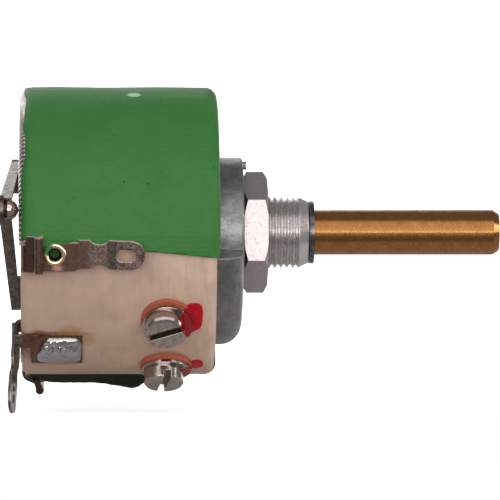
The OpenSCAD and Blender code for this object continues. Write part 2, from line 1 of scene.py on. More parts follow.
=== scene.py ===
"""Looks of a rotary wirewound potentiometer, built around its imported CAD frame.

The frame's origin lies on the shaft axis in the casting's panel face. +X runs
along the shaft to its free end, +Z is up and the photographed side faces -Y.
A place on the ring is a radius and a depth behind the panel face, both in
millimetres, and an angle in degrees above the line towards the viewer.
"""

import logging
import math
from abc import ABC, abstractmethod
from dataclasses import dataclass, field
from enum import Enum
from typing import Any, Iterable, Sequence

import bmesh
import bpy
from mathutils import Matrix, Vector, noise


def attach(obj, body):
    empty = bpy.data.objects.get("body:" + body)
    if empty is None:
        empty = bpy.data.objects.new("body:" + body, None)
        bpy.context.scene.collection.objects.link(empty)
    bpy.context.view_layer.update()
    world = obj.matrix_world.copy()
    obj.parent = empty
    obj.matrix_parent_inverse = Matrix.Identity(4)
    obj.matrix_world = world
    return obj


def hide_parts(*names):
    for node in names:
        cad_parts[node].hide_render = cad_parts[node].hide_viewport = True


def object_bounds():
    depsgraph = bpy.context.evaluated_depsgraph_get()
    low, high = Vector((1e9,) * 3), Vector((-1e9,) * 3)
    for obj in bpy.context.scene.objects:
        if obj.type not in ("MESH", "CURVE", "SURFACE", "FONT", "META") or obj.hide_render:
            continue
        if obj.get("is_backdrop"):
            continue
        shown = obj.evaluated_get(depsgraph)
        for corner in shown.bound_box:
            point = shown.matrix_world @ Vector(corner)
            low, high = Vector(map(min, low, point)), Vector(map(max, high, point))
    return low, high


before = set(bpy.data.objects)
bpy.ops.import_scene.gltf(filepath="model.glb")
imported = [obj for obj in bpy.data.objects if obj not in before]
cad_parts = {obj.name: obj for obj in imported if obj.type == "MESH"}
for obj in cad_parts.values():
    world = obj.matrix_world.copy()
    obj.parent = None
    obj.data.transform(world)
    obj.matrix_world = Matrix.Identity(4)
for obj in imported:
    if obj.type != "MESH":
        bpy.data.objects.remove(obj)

LOG = logging.getLogger("potentiometer")
MM = 0.001
SEED = 1
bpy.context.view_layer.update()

Colour = tuple[float, float, float]
WHITE: Colour = (1.0, 1.0, 1.0)


class Body(Enum):
    """The two rigid bodies of the frame."""

    HOUSING = "housing"
    ROTOR = "rotor"


class Lay(Enum):
    """Direction of a drawn or turned grain, as the scale of its noise along each axis."""

    NONE = (1.0, 1.0, 1.0)
    AROUND_SHAFT = (1.0, 0.05, 0.05)
    ALONG_LEGS = (0.3, 1.0, 0.06)


# Places on the ring


def polar(radius: float, phi: float, depth: float) -> Vector:
    """Gives a point about the shaft.

    Args:
        radius: distance from the shaft axis, in millimetres.
        phi: angle above the line towards the viewer, in degrees.
        depth: distance behind the panel face, in millimetres.

    Returns:
        The point in metres in the frame's axes.
    """
    turn = math.radians(phi)
    return Vector((-depth, -radius * math.cos(turn), radius * math.sin(turn))) * MM


def polar_of(point: Vector) -> tuple[float, float, float]:
    """Gives the radius, angle and depth of a point, the reverse of polar.

    Args:
        point: a point in metres.

    Returns:
        Radius in millimetres, angle in degrees and depth in millimetres.
    """
    radius = math.hypot(point.y, point.z) / MM
    return radius, math.degrees(math.atan2(point.z, -point.y)), -point.x / MM


def turned(degrees: float) -> Matrix:
    """Gives the rotation about the shaft that adds to a place's angle."""
    return Matrix.Rotation(math.radians(degrees), 3, (-1, 0, 0))


def passed(value: float, middle: float, width: float) -> float:
    """Goes smoothly from 0 to 1 as a value passes a middle.

    Args:
        value: the value.
        middle: where the result is a half.
        width: how far from the middle the result has gone most of its way.

    Returns:
        The share passed.
    """
    return 0.5 + 0.5 * math.tanh((value - middle) / width)


def bell(value: float, middle: float, width: float) -> float:
    """Gives 1 at the middle, falling to 0 about two widths away."""
    return math.exp(-(((value - middle) / width) ** 2))


def ripple(phi: float, waves: float, height: float, shift: float = 0.0) -> float:
    """Gives the height of even waves round the ring at an angle.

    Args:
        phi: the angle, in degrees.
        waves: how many waves go round the ring.
        height: their height.
        shift: their phase, in degrees.

    Returns:
        The height there.
    """
    return height * math.sin(math.radians(phi * waves + shift))


@dataclass(frozen=True)
class RingSizes:
    """Driving sizes of the ceramic ring, in millimetres and degrees.

    Attributes:
        outer: radius of its outside.
        bore: radius of its bore.
        front: depth of its front face.
        rear: depth of its rear face.
        corner: rounding of its edges.
        gap_mid: angle in the middle of the stretch without wire.
        bare_half: half of that stretch.
        turns: turns of wire round the rest.
    """

    outer: float = 18.9
    bore: float = 15.0
    front: float = 3.85
    rear: float = 29.3
    corner: float = 1.1
    gap_mid: float = -55.0
    bare_half: float = 51.0
    turns: int = 129

    @property
    def wound_from(self) -> float:
        """Angle at which the winding starts."""
        return self.gap_mid + self.bare_half

    @property
    def wound_to(self) -> float:
        """Angle at which the winding ends."""
        return self.gap_mid + 360.0 - self.bare_half

    @property
    def turn_step(self) -> float:
        """Angle between two turns of wire."""
        return (self.wound_to - self.wound_from) / self.turns


RING = RingSizes()


# Shader maths


class Sock:
    """A number socket that Python's arithmetic extends with Math nodes."""

    def __init__(self, graph: "Graph", socket: bpy.types.NodeSocket) -> None:
        """Wraps a socket of a node in a graph."""
        self.graph = graph
        self.socket = socket

    def math(self, operation: str, *others: "Sock | float", clamp: bool = False) -> "Sock":
        """Adds a Math node whose first operand is this value.

        Args:
            operation: the node's operation.
            others: the second and third operands.
            clamp: whether the result is held between 0 and 1.

        Returns:
            The node's result.
        """
        return self.graph.maths(operation, (self, *others), clamp)

    def __add__(self, other: "Sock | float") -> "Sock":
        """Adds."""
        return self.math("ADD", other)

    __radd__ = __add__

    def __mul__(self, other: "Sock | float") -> "Sock":
        """Multiplies."""
        return self.math("MULTIPLY", other)

    __rmul__ = __mul__

    def __sub__(self, other: "Sock | float") -> "Sock":
        """Subtracts other from this."""
        return self.math("SUBTRACT", other)

    def __rsub__(self, other: float) -> "Sock":
        """Subtracts this from other."""
        return self.graph.maths("SUBTRACT", (other, self))

    def __truediv__(self, other: "Sock | float") -> "Sock":
        """Divides this by other."""
        return self.math("DIVIDE", other)

    def __rtruediv__(self, other: float) -> "Sock":
        """Divides other by this."""
        return self.graph.maths("DIVIDE", (other, self))

    def swing(self) -> "Sock":
        """Takes a half off noise, so that it swings about 0."""
        return self - 0.5

    def clamped(self) -> "Sock":
        """Holds the value between 0 and 1."""
        return self.math("ADD", 0.0, clamp=True)

    def above(self, edge: float, soft: float) -> "Sock":
        """Masks where the value passes an edge.

        Args:
            edge: the value at which the mask is a half.
            soft: the width over which it rises from 0 to 1.

        Returns:
            The mask.
        """
        return ((self - edge) * (1.0 / soft) + 0.5).clamped()

    def below(self, edge: float, soft: float) -> "Sock":
        """Masks where the value stays under an edge."""
        return 1.0 - self.above(edge, soft)


Value = Sock | float | tuple | Vector | bpy.types.NodeSocket


@dataclass(frozen=True)
class Grain:
    """One pattern of noise.

    Attributes:
        size: the size of its features, in millimetres.
        detail: octaves of finer noise.
        rough: strength of the finer noise.
        stretch: scale along each axis, below 1 to draw features out.
        distort: swirl.
    """

    size: float
    detail: float = 2.0
    rough: float = 0.5
    stretch: Sequence[float] = (1.0, 1.0, 1.0)
    distort: float = 0.0


@dataclass(frozen=True)
class Spot:
    """A soft ellipsoid inside which a finish changes.

    Attributes:
        centre: its centre in metres.
        radii: its half sizes along the axes, in millimetres.
        soft: width of its edge as a share of the radii.
    """

    centre: Vector
    radii: Sequence[float]
    soft: float = 0.5


class Graph:
    """A node tree to which every node is added in one way."""

    def __init__(self, tree: bpy.types.NodeTree) -> None:
        """Empties the tree and starts its coordinates."""
        self.tree = tree
        tree.nodes.clear()
        self.coordinates = self.node("ShaderNodeTexCoord")

    def node(
        self,
        kind: str,
        settings: dict[str, Any] | None = None,
        inputs: dict[str | int, Value] | None = None,
    ) -> bpy.types.Node:
        """Adds one node.

        Args:
            kind: the node's type.
            settings: its properties, set first.
            inputs: values or links for its sockets, by name or index.

        Returns:
            The node.
        """
        made = self.tree.nodes.new(kind)
        for name, value in (settings or {}).items():
            setattr(made, name, value)
        for name, value in (inputs or {}).items():
            self.feed(made.inputs[name], value)
        return made

    def feed(self, socket: bpy.types.NodeSocket, value: Value) -> None:
        """Links a socket or sets its value.

        Args:
            socket: the input socket.
            value: what it gets, where three numbers make an opaque colour.
        """
        if isinstance(value, Sock):
            value = value.socket
        if isinstance(value, bpy.types.NodeSocket):
            self.tree.links.new(value, socket)
        elif isinstance(value, tuple) and len(value) == 3 and len(socket.default_value) == 4:
            socket.default_value = (*value, 1.0)
        else:
            socket.default_value = value

    def maths(self, operation: str, operands: Sequence[Value], clamp: bool = False) -> Sock:
        """Adds one Math node.

        Args:
            operation: its operation.
            operands: its operands in order.
            clamp: whether the result is held between 0 and 1.

        Returns:
            The node's result.
        """
        settings = {"operation": operation, "use_clamp": clamp}
        made = self.node("ShaderNodeMath", settings, dict(enumerate(operands)))
        return Sock(self, made.outputs[0])

    def mix(self, mask: Value, low: Value, high: Value) -> bpy.types.NodeSocket:
        """Mixes two colours.

        Args:
            mask: the second colour's share.
            low: the first colour.
            high: the second colour.

        Returns:
            The mixed colour.
        """
        made = self.node("ShaderNodeMix", {"data_type": "RGBA"}, {0: mask, 6: low, 7: high})
        return made.outputs[2]

    def ray(self, *kinds: str) -> Sock:
        """Marks kinds of rays.

        Args:
            kinds: their names, such as Camera or Glossy.

        Returns:
            1 for rays of any of these kinds.
        """
        path = self.node("ShaderNodeLightPath")
        found, *others = (Sock(self, path.outputs[f"Is {kind} Ray"]) for kind in kinds)
        for other in others:
            found = found.math("MAXIMUM", other)
        return found


class Shader(Graph):
    """One material's node tree around a Principled shader."""

    def __init__(self, name: str) -> None:
        """Starts an empty material."""
        self.material = bpy.data.materials.new(name)
        self.material.use_nodes = True
        super().__init__(self.material.node_tree)
        self.surface = self.node("ShaderNodeBsdfPrincipled")
        self.output = self.node("ShaderNodeOutputMaterial", inputs={0: self.surface.outputs[0]})

    def set(self, **sockets: Value) -> "Shader":
        """Feeds the Principled shader.

        Args:
            sockets: values or links by the sockets' names, with underscores for spaces.

        Returns:
            The shader.
        """
        for name, value in sockets.items():
            title = name.replace("_", " ").title().replace("Ior", "IOR")
            self.feed(self.surface.inputs[title], value)
        return self

    def fed(self, name: str) -> Sock | float:
        """Gives what a socket of the Principled shader gets so far.

        Args:
            name: the socket's name.

        Returns:
            Its link, or its own number where nothing is linked.
        """
        socket = self.surface.inputs[name]
        return Sock(self, socket.links[0].from_socket) if socket.links else socket.default_value

    def placed(self, stretch: Sequence[float] = (1.0, 1.0, 1.0)) -> bpy.types.NodeSocket:
        """Gives the Object coordinates in millimetres.

        Args:
            stretch: scale along each axis.

        Returns:
            The mapped point.
        """
        inputs = {
            "Vector": self.coordinates.outputs["Object"],
            "Scale": tuple(scale / MM for scale in stretch),
        }
        return self.node("ShaderNodeMapping", {"vector_type": "POINT"}, inputs).outputs[0]

    def axes(self) -> tuple[Sock, Sock, Sock]:
        """Gives the Object coordinates in millimetres, one number each."""
        made = self.node("ShaderNodeSeparateXYZ", inputs={0: self.placed()})
        return tuple(Sock(self, out) for out in made.outputs)

    def around(self) -> tuple[Sock, Sock, Sock]:
        """Gives the radius, the angle in degrees and the depth about the shaft.

        Returns:
            The three numbers, as polar takes them.
        """
        x, y, z = self.axes()
        radius = (y * y + z * z).math("SQRT")
        return radius, z.math("ARCTAN2", y * -1.0) * math.degrees(1.0), x * -1.0

    def grain(self, grain: Grain) -> Sock:
        """Adds noise.

        Args:
            grain: its pattern.

        Returns:
            Noise from 0 to 1.
        """
        inputs = {
            "Vector": self.placed(grain.stretch),
            "Scale": 1.0 / grain.size,
            "Detail": grain.detail,
            "Roughness": grain.rough,
            "Distortion": grain.distort,
        }
        made = self.node("ShaderNodeTexNoise", {"noise_dimensions": "3D"}, inputs)
        return Sock(self, made.outputs["Fac"])

    def pores(self, size: float, reach: float) -> Sock:
        """Masks scattered dots.

        Args:
            size: spacing of the dots, in millimetres.
            reach: radius of a dot as a share of the spacing.

        Returns:
            1 inside a dot.
        """
        inputs = {"Vector": self.placed(), "Scale": 1.0 / size}
        made = self.node("ShaderNodeTexVoronoi", {"feature": "F1"}, inputs)
        soft = reach * 0.6
        return Sock(self, made.outputs["Distance"]).below(reach, soft)

    def blob(self, spot: Spot) -> Sock:
        """Masks an ellipsoid.

        Args:
            spot: its place and size.

        Returns:
            1 inside it.
        """
        sides = zip(self.axes(), spot.centre / MM, spot.radii)
        x, y, z = ((axis - middle) / radius for axis, middle, radius in sides)
        return (x * x + y * y + z * z).math("SQRT").below(1.0, spot.soft)

    def crevices(self, reach: float) -> Sock:
        """Masks hollows such as slots and thread roots, where painted shade goes.

        Args:
            reach: how far their walls may stand off, in millimetres.

        Returns:
            1 deep in a hollow.
        """
        settings = {"samples": 6, "only_local": True}
        made = self.node("ShaderNodeAmbientOcclusion", settings, {"Distance": reach * MM})
        openness, soft = 0.55, 0.5
        return Sock(self, made.outputs["AO"]).below(openness, soft)

    def rounded(self, radius: float, samples: int = 6) -> bpy.types.NodeSocket:
        """Gives the normal as if edges were rounded.

        Args:
            radius: the edges' radius, in millimetres.
            samples: how finely the node looks about.

        Returns:
            The normal.
        """
        made = self.node("ShaderNodeBevel", {"samples": samples}, {"Radius": radius * MM})
        return made.outputs[0]

    def edges(self, radius: float) -> Sock:
        """Masks sharp edges.

        Args:
            radius: how far from an edge the mask reaches, in millimetres.

        Returns:
            1 on an edge.
        """
        flat = self.node("ShaderNodeNewGeometry").outputs["Normal"]
        inputs = {0: self.rounded(radius), 1: flat}
        both = self.node("ShaderNodeVectorMath", {"operation": "DOT_PRODUCT"}, inputs)
        likeness, soft = 0.93, 0.1
        return Sock(self, both.outputs["Value"]).below(likeness, soft)

    def upper_edges(self, radius: float) -> Sock:
        """Masks edges that round off upwards, for a painted highlight where they would catch
        light from above.

        Args:
            radius: how far from an edge the mask reaches, in millimetres.

        Returns:
            1 along an upper edge.
        """
        parts = self.node("ShaderNodeSeparateXYZ", inputs={0: self.rounded(radius)})
        upwards, soft = 0.3, 0.2
        return Sock(self, parts.outputs[2]).above(upwards, soft)

    def bump(self, height: Sock, depth: float, edge: float = 0.0) -> "Shader":
        """Feeds Normal with relief and softened edges, in place of what it had.

        Args:
            height: relief from 0 to 1.
            depth: its real height, in millimetres.
            edge: radius given to sharp edges, in millimetres.

        Returns:
            The shader.
        """
        inputs = {"Height": height, "Distance": depth * MM, "Strength": 1.0}
        if edge:
            inputs["Normal"] = self.rounded(edge, samples=4)
        return self.set(normal=self.node("ShaderNodeBump", inputs=inputs).outputs[0])


# Finishes


class Finish(ABC):
    """What a piece is made of and how its surface looks."""

    @abstractmethod
    def shader(self) -> Shader:
        """Builds the node tree."""

    def material(self) -> bpy.types.Material:
        """Builds the material."""
        return self.shader().material


@dataclass(frozen=True)
class Metal(Finish):
    """A metal whose tone, shine and grain vary a little over the piece.

    Attributes:
        name: the material's name.
        light: colour of the clean metal.
        dark: colour of its tarnish.
        shine: lowest and highest roughness.
        patch: size of the tarnish patches, in millimetres.
        tarnish: share of the surface that is tarnished, from 0 to 1.
        fray: how far the grain frays the patches' edges.
        fade: softness of the patches' edges.
        lay: direction of the drawn or turned grain.
        line: spacing of the grain, in millimetres.
        relief: height of the grain, in millimetres.
        flicker: how far the grain changes the roughness.
        edge: radius given to sharp edges, in millimetres.
        metallic: how metallic the clean surface is.
        glint: colour of its painted glints, fine bright grains that stand in for sparkle.
        glints: share of the surface that they take.
        glint_grain: their pattern.
        glint_cover: their strength.
        rubbed_edge_sheen: colour of its edges, lightened partly by abrasion and partly as a
            painted highlight.
        wear_and_sheen: strength of that lightening, from 0 to 1.
        least_wear_and_sheen: share of it that the grain always leaves.
        shade_reach: reach of the painted shade in its hollows, in millimetres.
        shade_cover: strength of the painted shade.
        shade_colour: colour of the painted shade.
    """

    name: str
    light: Colour
    dark: Colour
    shine: tuple[float, float] = (0.25, 0.4)
    patch: float = 1.5
    tarnish: float = 0.4
    fray: float = 0.35
    fade: float = 0.45
    lay: Lay = Lay.NONE
    line: float = 0.15
    relief: float = 0.003
    flicker: float = 0.08
    edge: float = 0.12
    metallic: float = 1.0
    glint: Colour = (0.9, 0.88, 0.86)
    glints: float = 0.0
    glint_grain: Grain = Grain(0.13, 1.0)
    glint_cover: float = 0.8
    rubbed_edge_sheen: Colour = (0.7, 0.66, 0.64)
    wear_and_sheen: float = 0.0
    least_wear_and_sheen: float = 0.6
    shade_reach: float = 0.0
    shade_cover: float = 0.92
    shade_colour: Colour = (0.03, 0.024, 0.02)

    def tone(self, shader: Shader) -> tuple[Sock, Sock]:
        """Makes the tarnish mask and the fine grain.

        Args:
            shader: the material's node tree.

        Returns:
            The mask and the grain.
        """
        patches = shader.grain(Grain(self.patch, 4.0, 0.6, distort=0.3))
        grain = shader.grain(Grain(self.line, stretch=self.lay.value))
        mask = (patches + grain.swing() * self.fray).above(1.0 - self.tarnish, self.fade)
        return mask, grain

    def shader(self) -> Shader:
        """Builds the node tree.

        Returns:
            The shader, so that a finish built on this one can add to it.
        """
        shader = Shader(self.name)
        mask, grain = self.tone(shader)
        low, high = self.shine
        colour = shader.mix(mask, self.light, self.dark)
        # Painted glints: scattered fine grains lightened towards a bright colour, in place of
        # sparkle.
        if self.glints:
            bright = shader.grain(self.glint_grain).above(1.0 - self.glints, 0.08)
            colour = shader.mix(bright * self.glint_cover, colour, self.glint)
        # Edges are lightened, partly as abrasion and partly as a painted highlight where a
        # rounded edge would catch the light.
        if self.wear_and_sheen:
            rubbed_and_lit = shader.edges(self.edge) * (grain + 1.0) * (self.least_wear_and_sheen * self.wear_and_sheen)
            colour = shader.mix(rubbed_and_lit, colour, self.rubbed_edge_sheen)
        # Painted shade: hollows that the occlusion node finds are darkened towards a shade
        # colour.
        if self.shade_reach:
            hollows = shader.crevices(self.shade_reach) * self.shade_cover
            colour = shader.mix(hollows, colour, self.shade_colour)
        shader.set(
            base_color=colour,
            metallic=self.metallic,
            roughness=mask * (high - low) + low + grain.swing() * self.flicker,
        )
        return shader.bump(grain, self.relief, self.edge)


@dataclass(frozen=True)
class CastZinc(Metal):
    """Die-cast zinc with a sandy skin and a bright cut thread.

    Attributes:
        cut: colour of the thread.
        cut_shine: how much smoother the thread is.
        thread_radius: radius inside which the surface ahead of the face is cut.
        thread_from: depth at which the cutting starts, in millimetres.
        skin: pattern of the cast skin.
        skin_height: height of that skin, in millimetres.
        skin_lost: share of it that the cutting takes off.
    """

    cut: Colour = (0.64, 0.585, 0.575)
    cut_shine: float = 0.08
    thread_radius: float = 5.2
    thread_from: float = -0.3
    skin: Grain = Grain(0.24, 3.0, 0.65)
    skin_height: float = 0.045
    skin_lost: float = 0.8

    def shader(self) -> Shader:
        """Adds the sandy skin and the thread to the plain metal.

        Returns:
            The shader.
        """
        shader = super().shader()
        radius, _, depth = shader.around()
        thread = radius.below(self.thread_radius, 0.1) * depth.below(self.thread_from, 0.2)
        shader.set(
            base_color=shader.mix(thread, shader.fed("Base Color"), self.cut),
            roughness=shader.fed("Roughness") - thread * self.cut_shine,
        )
        skin = shader.grain(self.skin) * (1.0 - thread * self.skin_lost)
        return shader.bump(skin, self.skin_height, self.edge)


@dataclass(frozen=True)
class Smear:
    """Red lacquer that the brush left over the front edge of each screw.

    Attributes:
        red: its colour.
        ragged: pattern of its edges.
        fray: how far that pattern moves them.
        fade: their softness.
        dabs: the place of each dab.
    """

    red: Colour = (0.3, 0.004, 0.01)
    ragged: Grain = Grain(0.6, 1.0)
    fray: float = 0.5
    fade: float = 0.2
    dabs: tuple[Spot, ...] = (
        Spot(Vector((-7.45, -16.0, -11.75)) * MM, (1.15, 9.0, 2.0)),
        Spot(Vector((-7.3, -8.0, -18.6)) * MM, (0.95, 6.0, 0.95)),
    )

    def cover(self, shader: Shader) -> Shader:
        """Lays the lacquer over what a shader shows so far.

        Args:
            shader: the covered shader.

        Returns:
            The same shader.
        """
        ragged = shader.grain(self.ragged)
        for place in self.dabs:
            dab = (shader.blob(place) + ragged.swing() * self.fray).above(0.5, self.fade)
            shader.set(
                base_color=shader.mix(dab, shader.fed("Base Color"), self.red),
                metallic=(1.0 - dab) * shader.fed("Metallic"),
            )
        return shader


@dataclass(frozen=True)
class Lacquered(Metal):
    """A metal smeared with lacquer beside each screw.

    Attributes:
        smear: the lacquer.
    """

    smear: Smear = Smear()

    def shader(self) -> Shader:
        """Adds the lacquer to the plain metal."""
        return self.smear.cover(super().shader())


@dataclass(frozen=True)
class Eyelet(Metal):
    """Bright rolled brass with enamel run over its upper rear.

    Attributes:
        enamel: the enamel's colour.
        run: where it has run.
    """

    enamel: Colour = (0.042, 0.185, 0.039)
    run: Spot = Spot(polar(19.5, -6.3, 25.9), (1.0, 2.0, 0.95), 0.35)

    def shader(self) -> Shader:
        """Adds the enamel to the plain metal.

        Returns:
            The shader.
        """
        shader = super().shader()
        run = shader.blob(self.run)
        colour = shader.mix(run, shader.fed("Base Color"), self.enamel)
        return shader.set(base_color=colour, metallic=1.0 - run)


@dataclass(frozen=True)
class Ceramic(Finish):
    """Unglazed steatite with fine speckle and faint streaks, browner towards the rear.

    Attributes:
        name: the material's name.
        light: its main colour.
        warm: colour of its clouds, its streaks and its rear.
        speck: colour of its specks.
        speck_size: spacing of the specks, in millimetres.
        speck_reach: radius of a speck as a share of that spacing.
        speck_cover: strength of the specks.
        cloud: pattern of the clouds.
        cloud_share: the clouds' share against the streaks.
        streak: pattern of the streaks.
        fade: how far it turns brown towards the rear.
        fade_at: depth in the middle of that turn, in millimetres.
        fade_over: length of that turn, in millimetres.
        fine: pattern of its relief.
        relief: height of the relief, in millimetres.
        edge: radius given to sharp edges, in millimetres.
    """

    name: str = "cream steatite"
    light: Colour = (0.8, 0.565, 0.435)
    warm: Colour = (0.48, 0.322, 0.24)
    speck: Colour = (0.2, 0.13, 0.09)
    speck_size: float = 0.9
    speck_reach: float = 0.06
    speck_cover: float = 0.6
    cloud: Grain = Grain(3.5, 3.0, 0.55)
    cloud_share: float = 0.7
    streak: Grain = Grain(0.5, stretch=(1.0, 0.15, 0.15))
    fade: float = 0.6
    fade_at: float = 13.0
    fade_over: float = 18.0
    fine: Grain = Grain(0.16, 3.0, 0.6)
    relief: float = 0.006
    edge: float = 0.1

    def shader(self) -> Shader:
        """Builds the node tree.

        Returns:
            The shader, so that a finish built on this one can add to it.
        """
        shader = Shader(self.name)
        cloud = shader.grain(self.cloud) * self.cloud_share
        streak = shader.grain(self.streak) * (1.0 - self.cloud_share)
        colour = shader.mix((cloud + streak).above(0.5, 0.5), self.light, self.warm)
        _, _, depth = shader.around()
        rear = depth.above(self.fade_at, self.fade_over) * self.fade
        colour = shader.mix(rear, colour, self.warm)
        specks = shader.pores(self.speck_size, self.speck_reach) * self.speck_cover
        colour = shader.mix(specks, colour, self.speck)
        fine = shader.grain(self.fine)
        shader.set(base_color=colour, roughness=fine * 0.15 + 0.5, specular_ior_level=0.35)
        return shader.bump(fine, self.relief, self.edge)


@dataclass(frozen=True)
class StainedCeramic(Ceramic):
    """The ring's ceramic, with flux and copper stains round the soldered pad.

    Attributes:
        stain: colour of the flux stains.
        copper: colour of the copper stains.
        soot: colour of the smoke below the start's eyelet.
        shade_under_wire: colour of painted shade on the rear edge under the winding, between
            its turns.
        wrap: how far that colour reaches over the rear edge, in millimetres.
        wave: pattern that makes the stains uneven.
        unevenness: strength of that pattern.
        soft: softness of the stains' edges.
    """

    stain: Colour = (0.42, 0.2, 0.03)
    copper: Colour = (0.16, 0.045, 0.015)
    soot: Colour = (0.12, 0.075, 0.05)
    shade_under_wire: Colour = (0.1, 0.065, 0.06)
    wrap: float = 0.4
    wave: Grain = Grain(0.8, 3.0, 0.6)
    unevenness: float = 1.6
    soft: float = 1.1

    def shader(self) -> Shader:
        """Adds the stains to the plain ceramic.

        Returns:
            The shader.
        """
        shader = super().shader()
        _, angle, depth = shader.around()
        # Painted shade: the rear edge under the winding is darkened where the wire shades the
        # ceramic between its turns.
        past_wire = (angle - RING.gap_mid).math("ABSOLUTE").above(RING.bare_half, 1.0)
        behind = depth.above(RING.rear - RING.corner - self.wrap, self.wrap)
        colour = shader.mix(past_wire * behind, shader.fed("Base Color"), self.shade_under_wire)
        wave = shader.grain(self.wave) * self.unevenness
        for phi, stain_depth, radii, tint, strength in self.stains():
            place = Spot(polar(RING.outer, phi, stain_depth), radii, self.soft)
            stained = (shader.blob(place) * wave * strength).clamped()
            colour = shader.mix(stained, colour, tint)
        return shader.set(base_color=colour)

    def stains(self) -> Iterable[tuple[float, float, Sequence[float], Colour, float]]:
        """Gives each stain's angle, depth, half sizes, tint and strength.

        Returns:
            The stains, each laid over those before it.
        """
        yield -44.9, 24.6, (3.6, 2.2, 0.34), self.copper, 1.0
        yield -44.0, 22.8, (1.5, 2.0, 0.75), self.stain, 0.8
        yield -45.3, 27.0, (0.9, 1.5, 0.6), self.copper, 1.0
        yield -64.6, 24.1, (2.0, 2.4, 0.42), self.stain, 0.9
        yield -63.8, 26.6, (1.3, 2.0, 0.35), self.copper, 0.8
        yield -48.5, 20.6, (0.8, 2.4, 0.6), self.stain, 0.7
        yield -53.0, 28.0, (0.8, 2.6, 1.9), self.copper, 1.0
        yield -12.5, 16.5, (5.0, 1.5, 1.0), self.soot, 0.2


@dataclass(frozen=True)
class Enamel(Finish):
    """Satin green enamel over wire, faintly ribbed, with pinholes.

    Attributes:
        name: the material's name.
        green: its main colour.
        pale: colour of its clouds.
        deep: colour of its dark grain and of the ribs.
        pinhole: colour of the pinholes.
        pore_size: spacing of the pinholes, in millimetres.
        pore_reach: radius of a pinhole as a share of that spacing.
        fleck: colour of the one nick in its top.
        nick: where that nick is.
        cloud: pattern of the clouds.
        fine: pattern of the grain.
        relief: height of its unevenness, in millimetres.
    """

    name: str = "green enamel"
    green: Colour = (0.04, 0.176, 0.037)
    pale: Colour = (0.052, 0.2, 0.046)
    deep: Colour = (0.026, 0.13, 0.026)
    pinhole: Colour = (0.01, 0.03, 0.012)
    pore_size: float = 2.6
    pore_reach: float = 0.045
    fleck: Colour = (0.5, 0.62, 0.55)
    nick: Spot = Spot(polar(19.3, 69.5, 14.5), (0.85, 0.95, 0.4))
    cloud: Grain = Grain(4.0, 4.0, 0.6)
    fine: Grain = Grain(0.35, 3.0, 0.6)
    relief: float = 0.05

    def shader(self) -> Shader:
        """Builds the node tree.

        Returns:
            The shader.
        """
        shader = Shader(self.name)
        _, angle, _ = shader.around()
        ribs = (angle * math.radians(360.0 / RING.turn_step)).math("SINE") * 0.5 + 0.5
        cloud, fine = shader.grain(self.cloud), shader.grain(self.fine)
        dots = shader.pores(self.pore_size, self.pore_reach)
        colour = shader.mix(cloud.above(0.5, 0.5), self.green, self.pale)
        colour = shader.mix(fine.above(0.62, 0.2) * 0.5, colour, self.deep)
        colour = shader.mix(ribs * 0.08, colour, self.deep)
        colour = shader.mix(dots, colour, self.pinhole)
        nick = shader.blob(self.nick) * fine.above(0.35, 0.3)
        colour = shader.mix(nick, colour, self.fleck)
        shader.set(base_color=colour, roughness=fine * 0.2 + 0.4, specular_ior_level=0.2)
        return shader.bump(ribs * 0.2 + fine * 0.4 + cloud * 0.4 - dots * 0.6, self.relief)


@dataclass(frozen=True)
class Fibre(Finish):
    """Pressed sheet such as red vulcanised fibre or brown laminate.

    Attributes:
        name: the material's name.
        colour: its main colour.
        dark: its darker colour.
        smear: lacquer over it, if any.
        weave: pattern of its fibres.
        relief: their height, in millimetres.
        edge: radius given to sharp edges, in millimetres.
    """

    name: str
    colour: Colour
    dark: Colour
    smear: Smear | None = None
    weave: Grain = Grain(0.3, 3.0, 0.6)
    relief: float = 0.01
    edge: float = 0.08

    def shader(self) -> Shader:
        """Builds the node tree.

        Returns:
            The shader.
        """
        shader = Shader(self.name)
        weave = shader.grain(self.weave)
        colour = shader.mix(weave.above(0.5, 0.4), self.colour, self.dark)
        shader.set(base_color=colour, roughness=weave * 0.2 + 0.45)
        if self.smear:
            self.smear.cover(shader)
        return shader.bump(weave, self.relief, self.edge)


@dataclass(frozen=True)
class Lacquer(Finish):
    """Bright red locking lacquer, brushed on thinly.

    Attributes:
        name: the material's name.
        red: colour where it lies thick.
        thin: colour where it lies thin.
        smear: pattern of its thickness.
        relief: height of that pattern, in millimetres.
    """

    name: str = "red locking lacquer"
    red: Colour = (0.55, 0.003, 0.012)
    thin: Colour = (0.36, 0.012, 0.02)
    smear: Grain = Grain(0.9, 3.0)
    relief: float = 0.02

    def shader(self) -> Shader:
        """Builds the node tree.

        Returns:
            The shader.
        """
        shader = Shader(self.name)
        smear = shader.grain(self.smear)
        colour = shader.mix(smear.above(0.55, 0.4), self.red, self.thin)
        shader.set(base_color=colour, roughness=smear * 0.2 + 0.3, specular_ior_level=0.2)
        return shader.bump(smear, self.relief)


@dataclass(frozen=True)
class FluxedTerminal(Metal):
    """Tinned brass with burnt flux over the tab that the solder holds.

    Attributes:
        flux: the burnt flux's colour.
        deep: its darkest colour.
        flux_from: depth behind which the metal is clean, in millimetres.
        flux_radius: radius inside which it is clean, in millimetres.
        flux_grain: pattern of the flux.
        wander: how far that pattern moves its edge, in millimetres.
    """

    flux: Colour = (0.15, 0.05, 0.02)
    deep: Colour = (0.045, 0.018, 0.011)
    flux_from: float = 29.1
    flux_radius: float = 17.6
    flux_grain: Grain = Grain(0.7, 3.0, 0.6)
    wander: float = 1.2

    def shader(self) -> Shader:
        """Adds the flux to the plain metal.

        Returns:
            The shader.
        """
        shader = super().shader()
        radius, _, depth = shader.around()
        cloud = shader.grain(self.flux_grain)
        ahead = (depth + cloud.swing() * self.wander).below(self.flux_from, 0.5)
        burnt = ahead * radius.above(self.flux_radius, 0.4)
        tint = shader.mix(cloud.above(0.5, 0.3), self.flux, self.deep)
        colour = shader.mix(burnt, shader.fed("Base Color"), tint)
        return shader.set(base_color=colour, metallic=1.0 - burnt * 0.8)


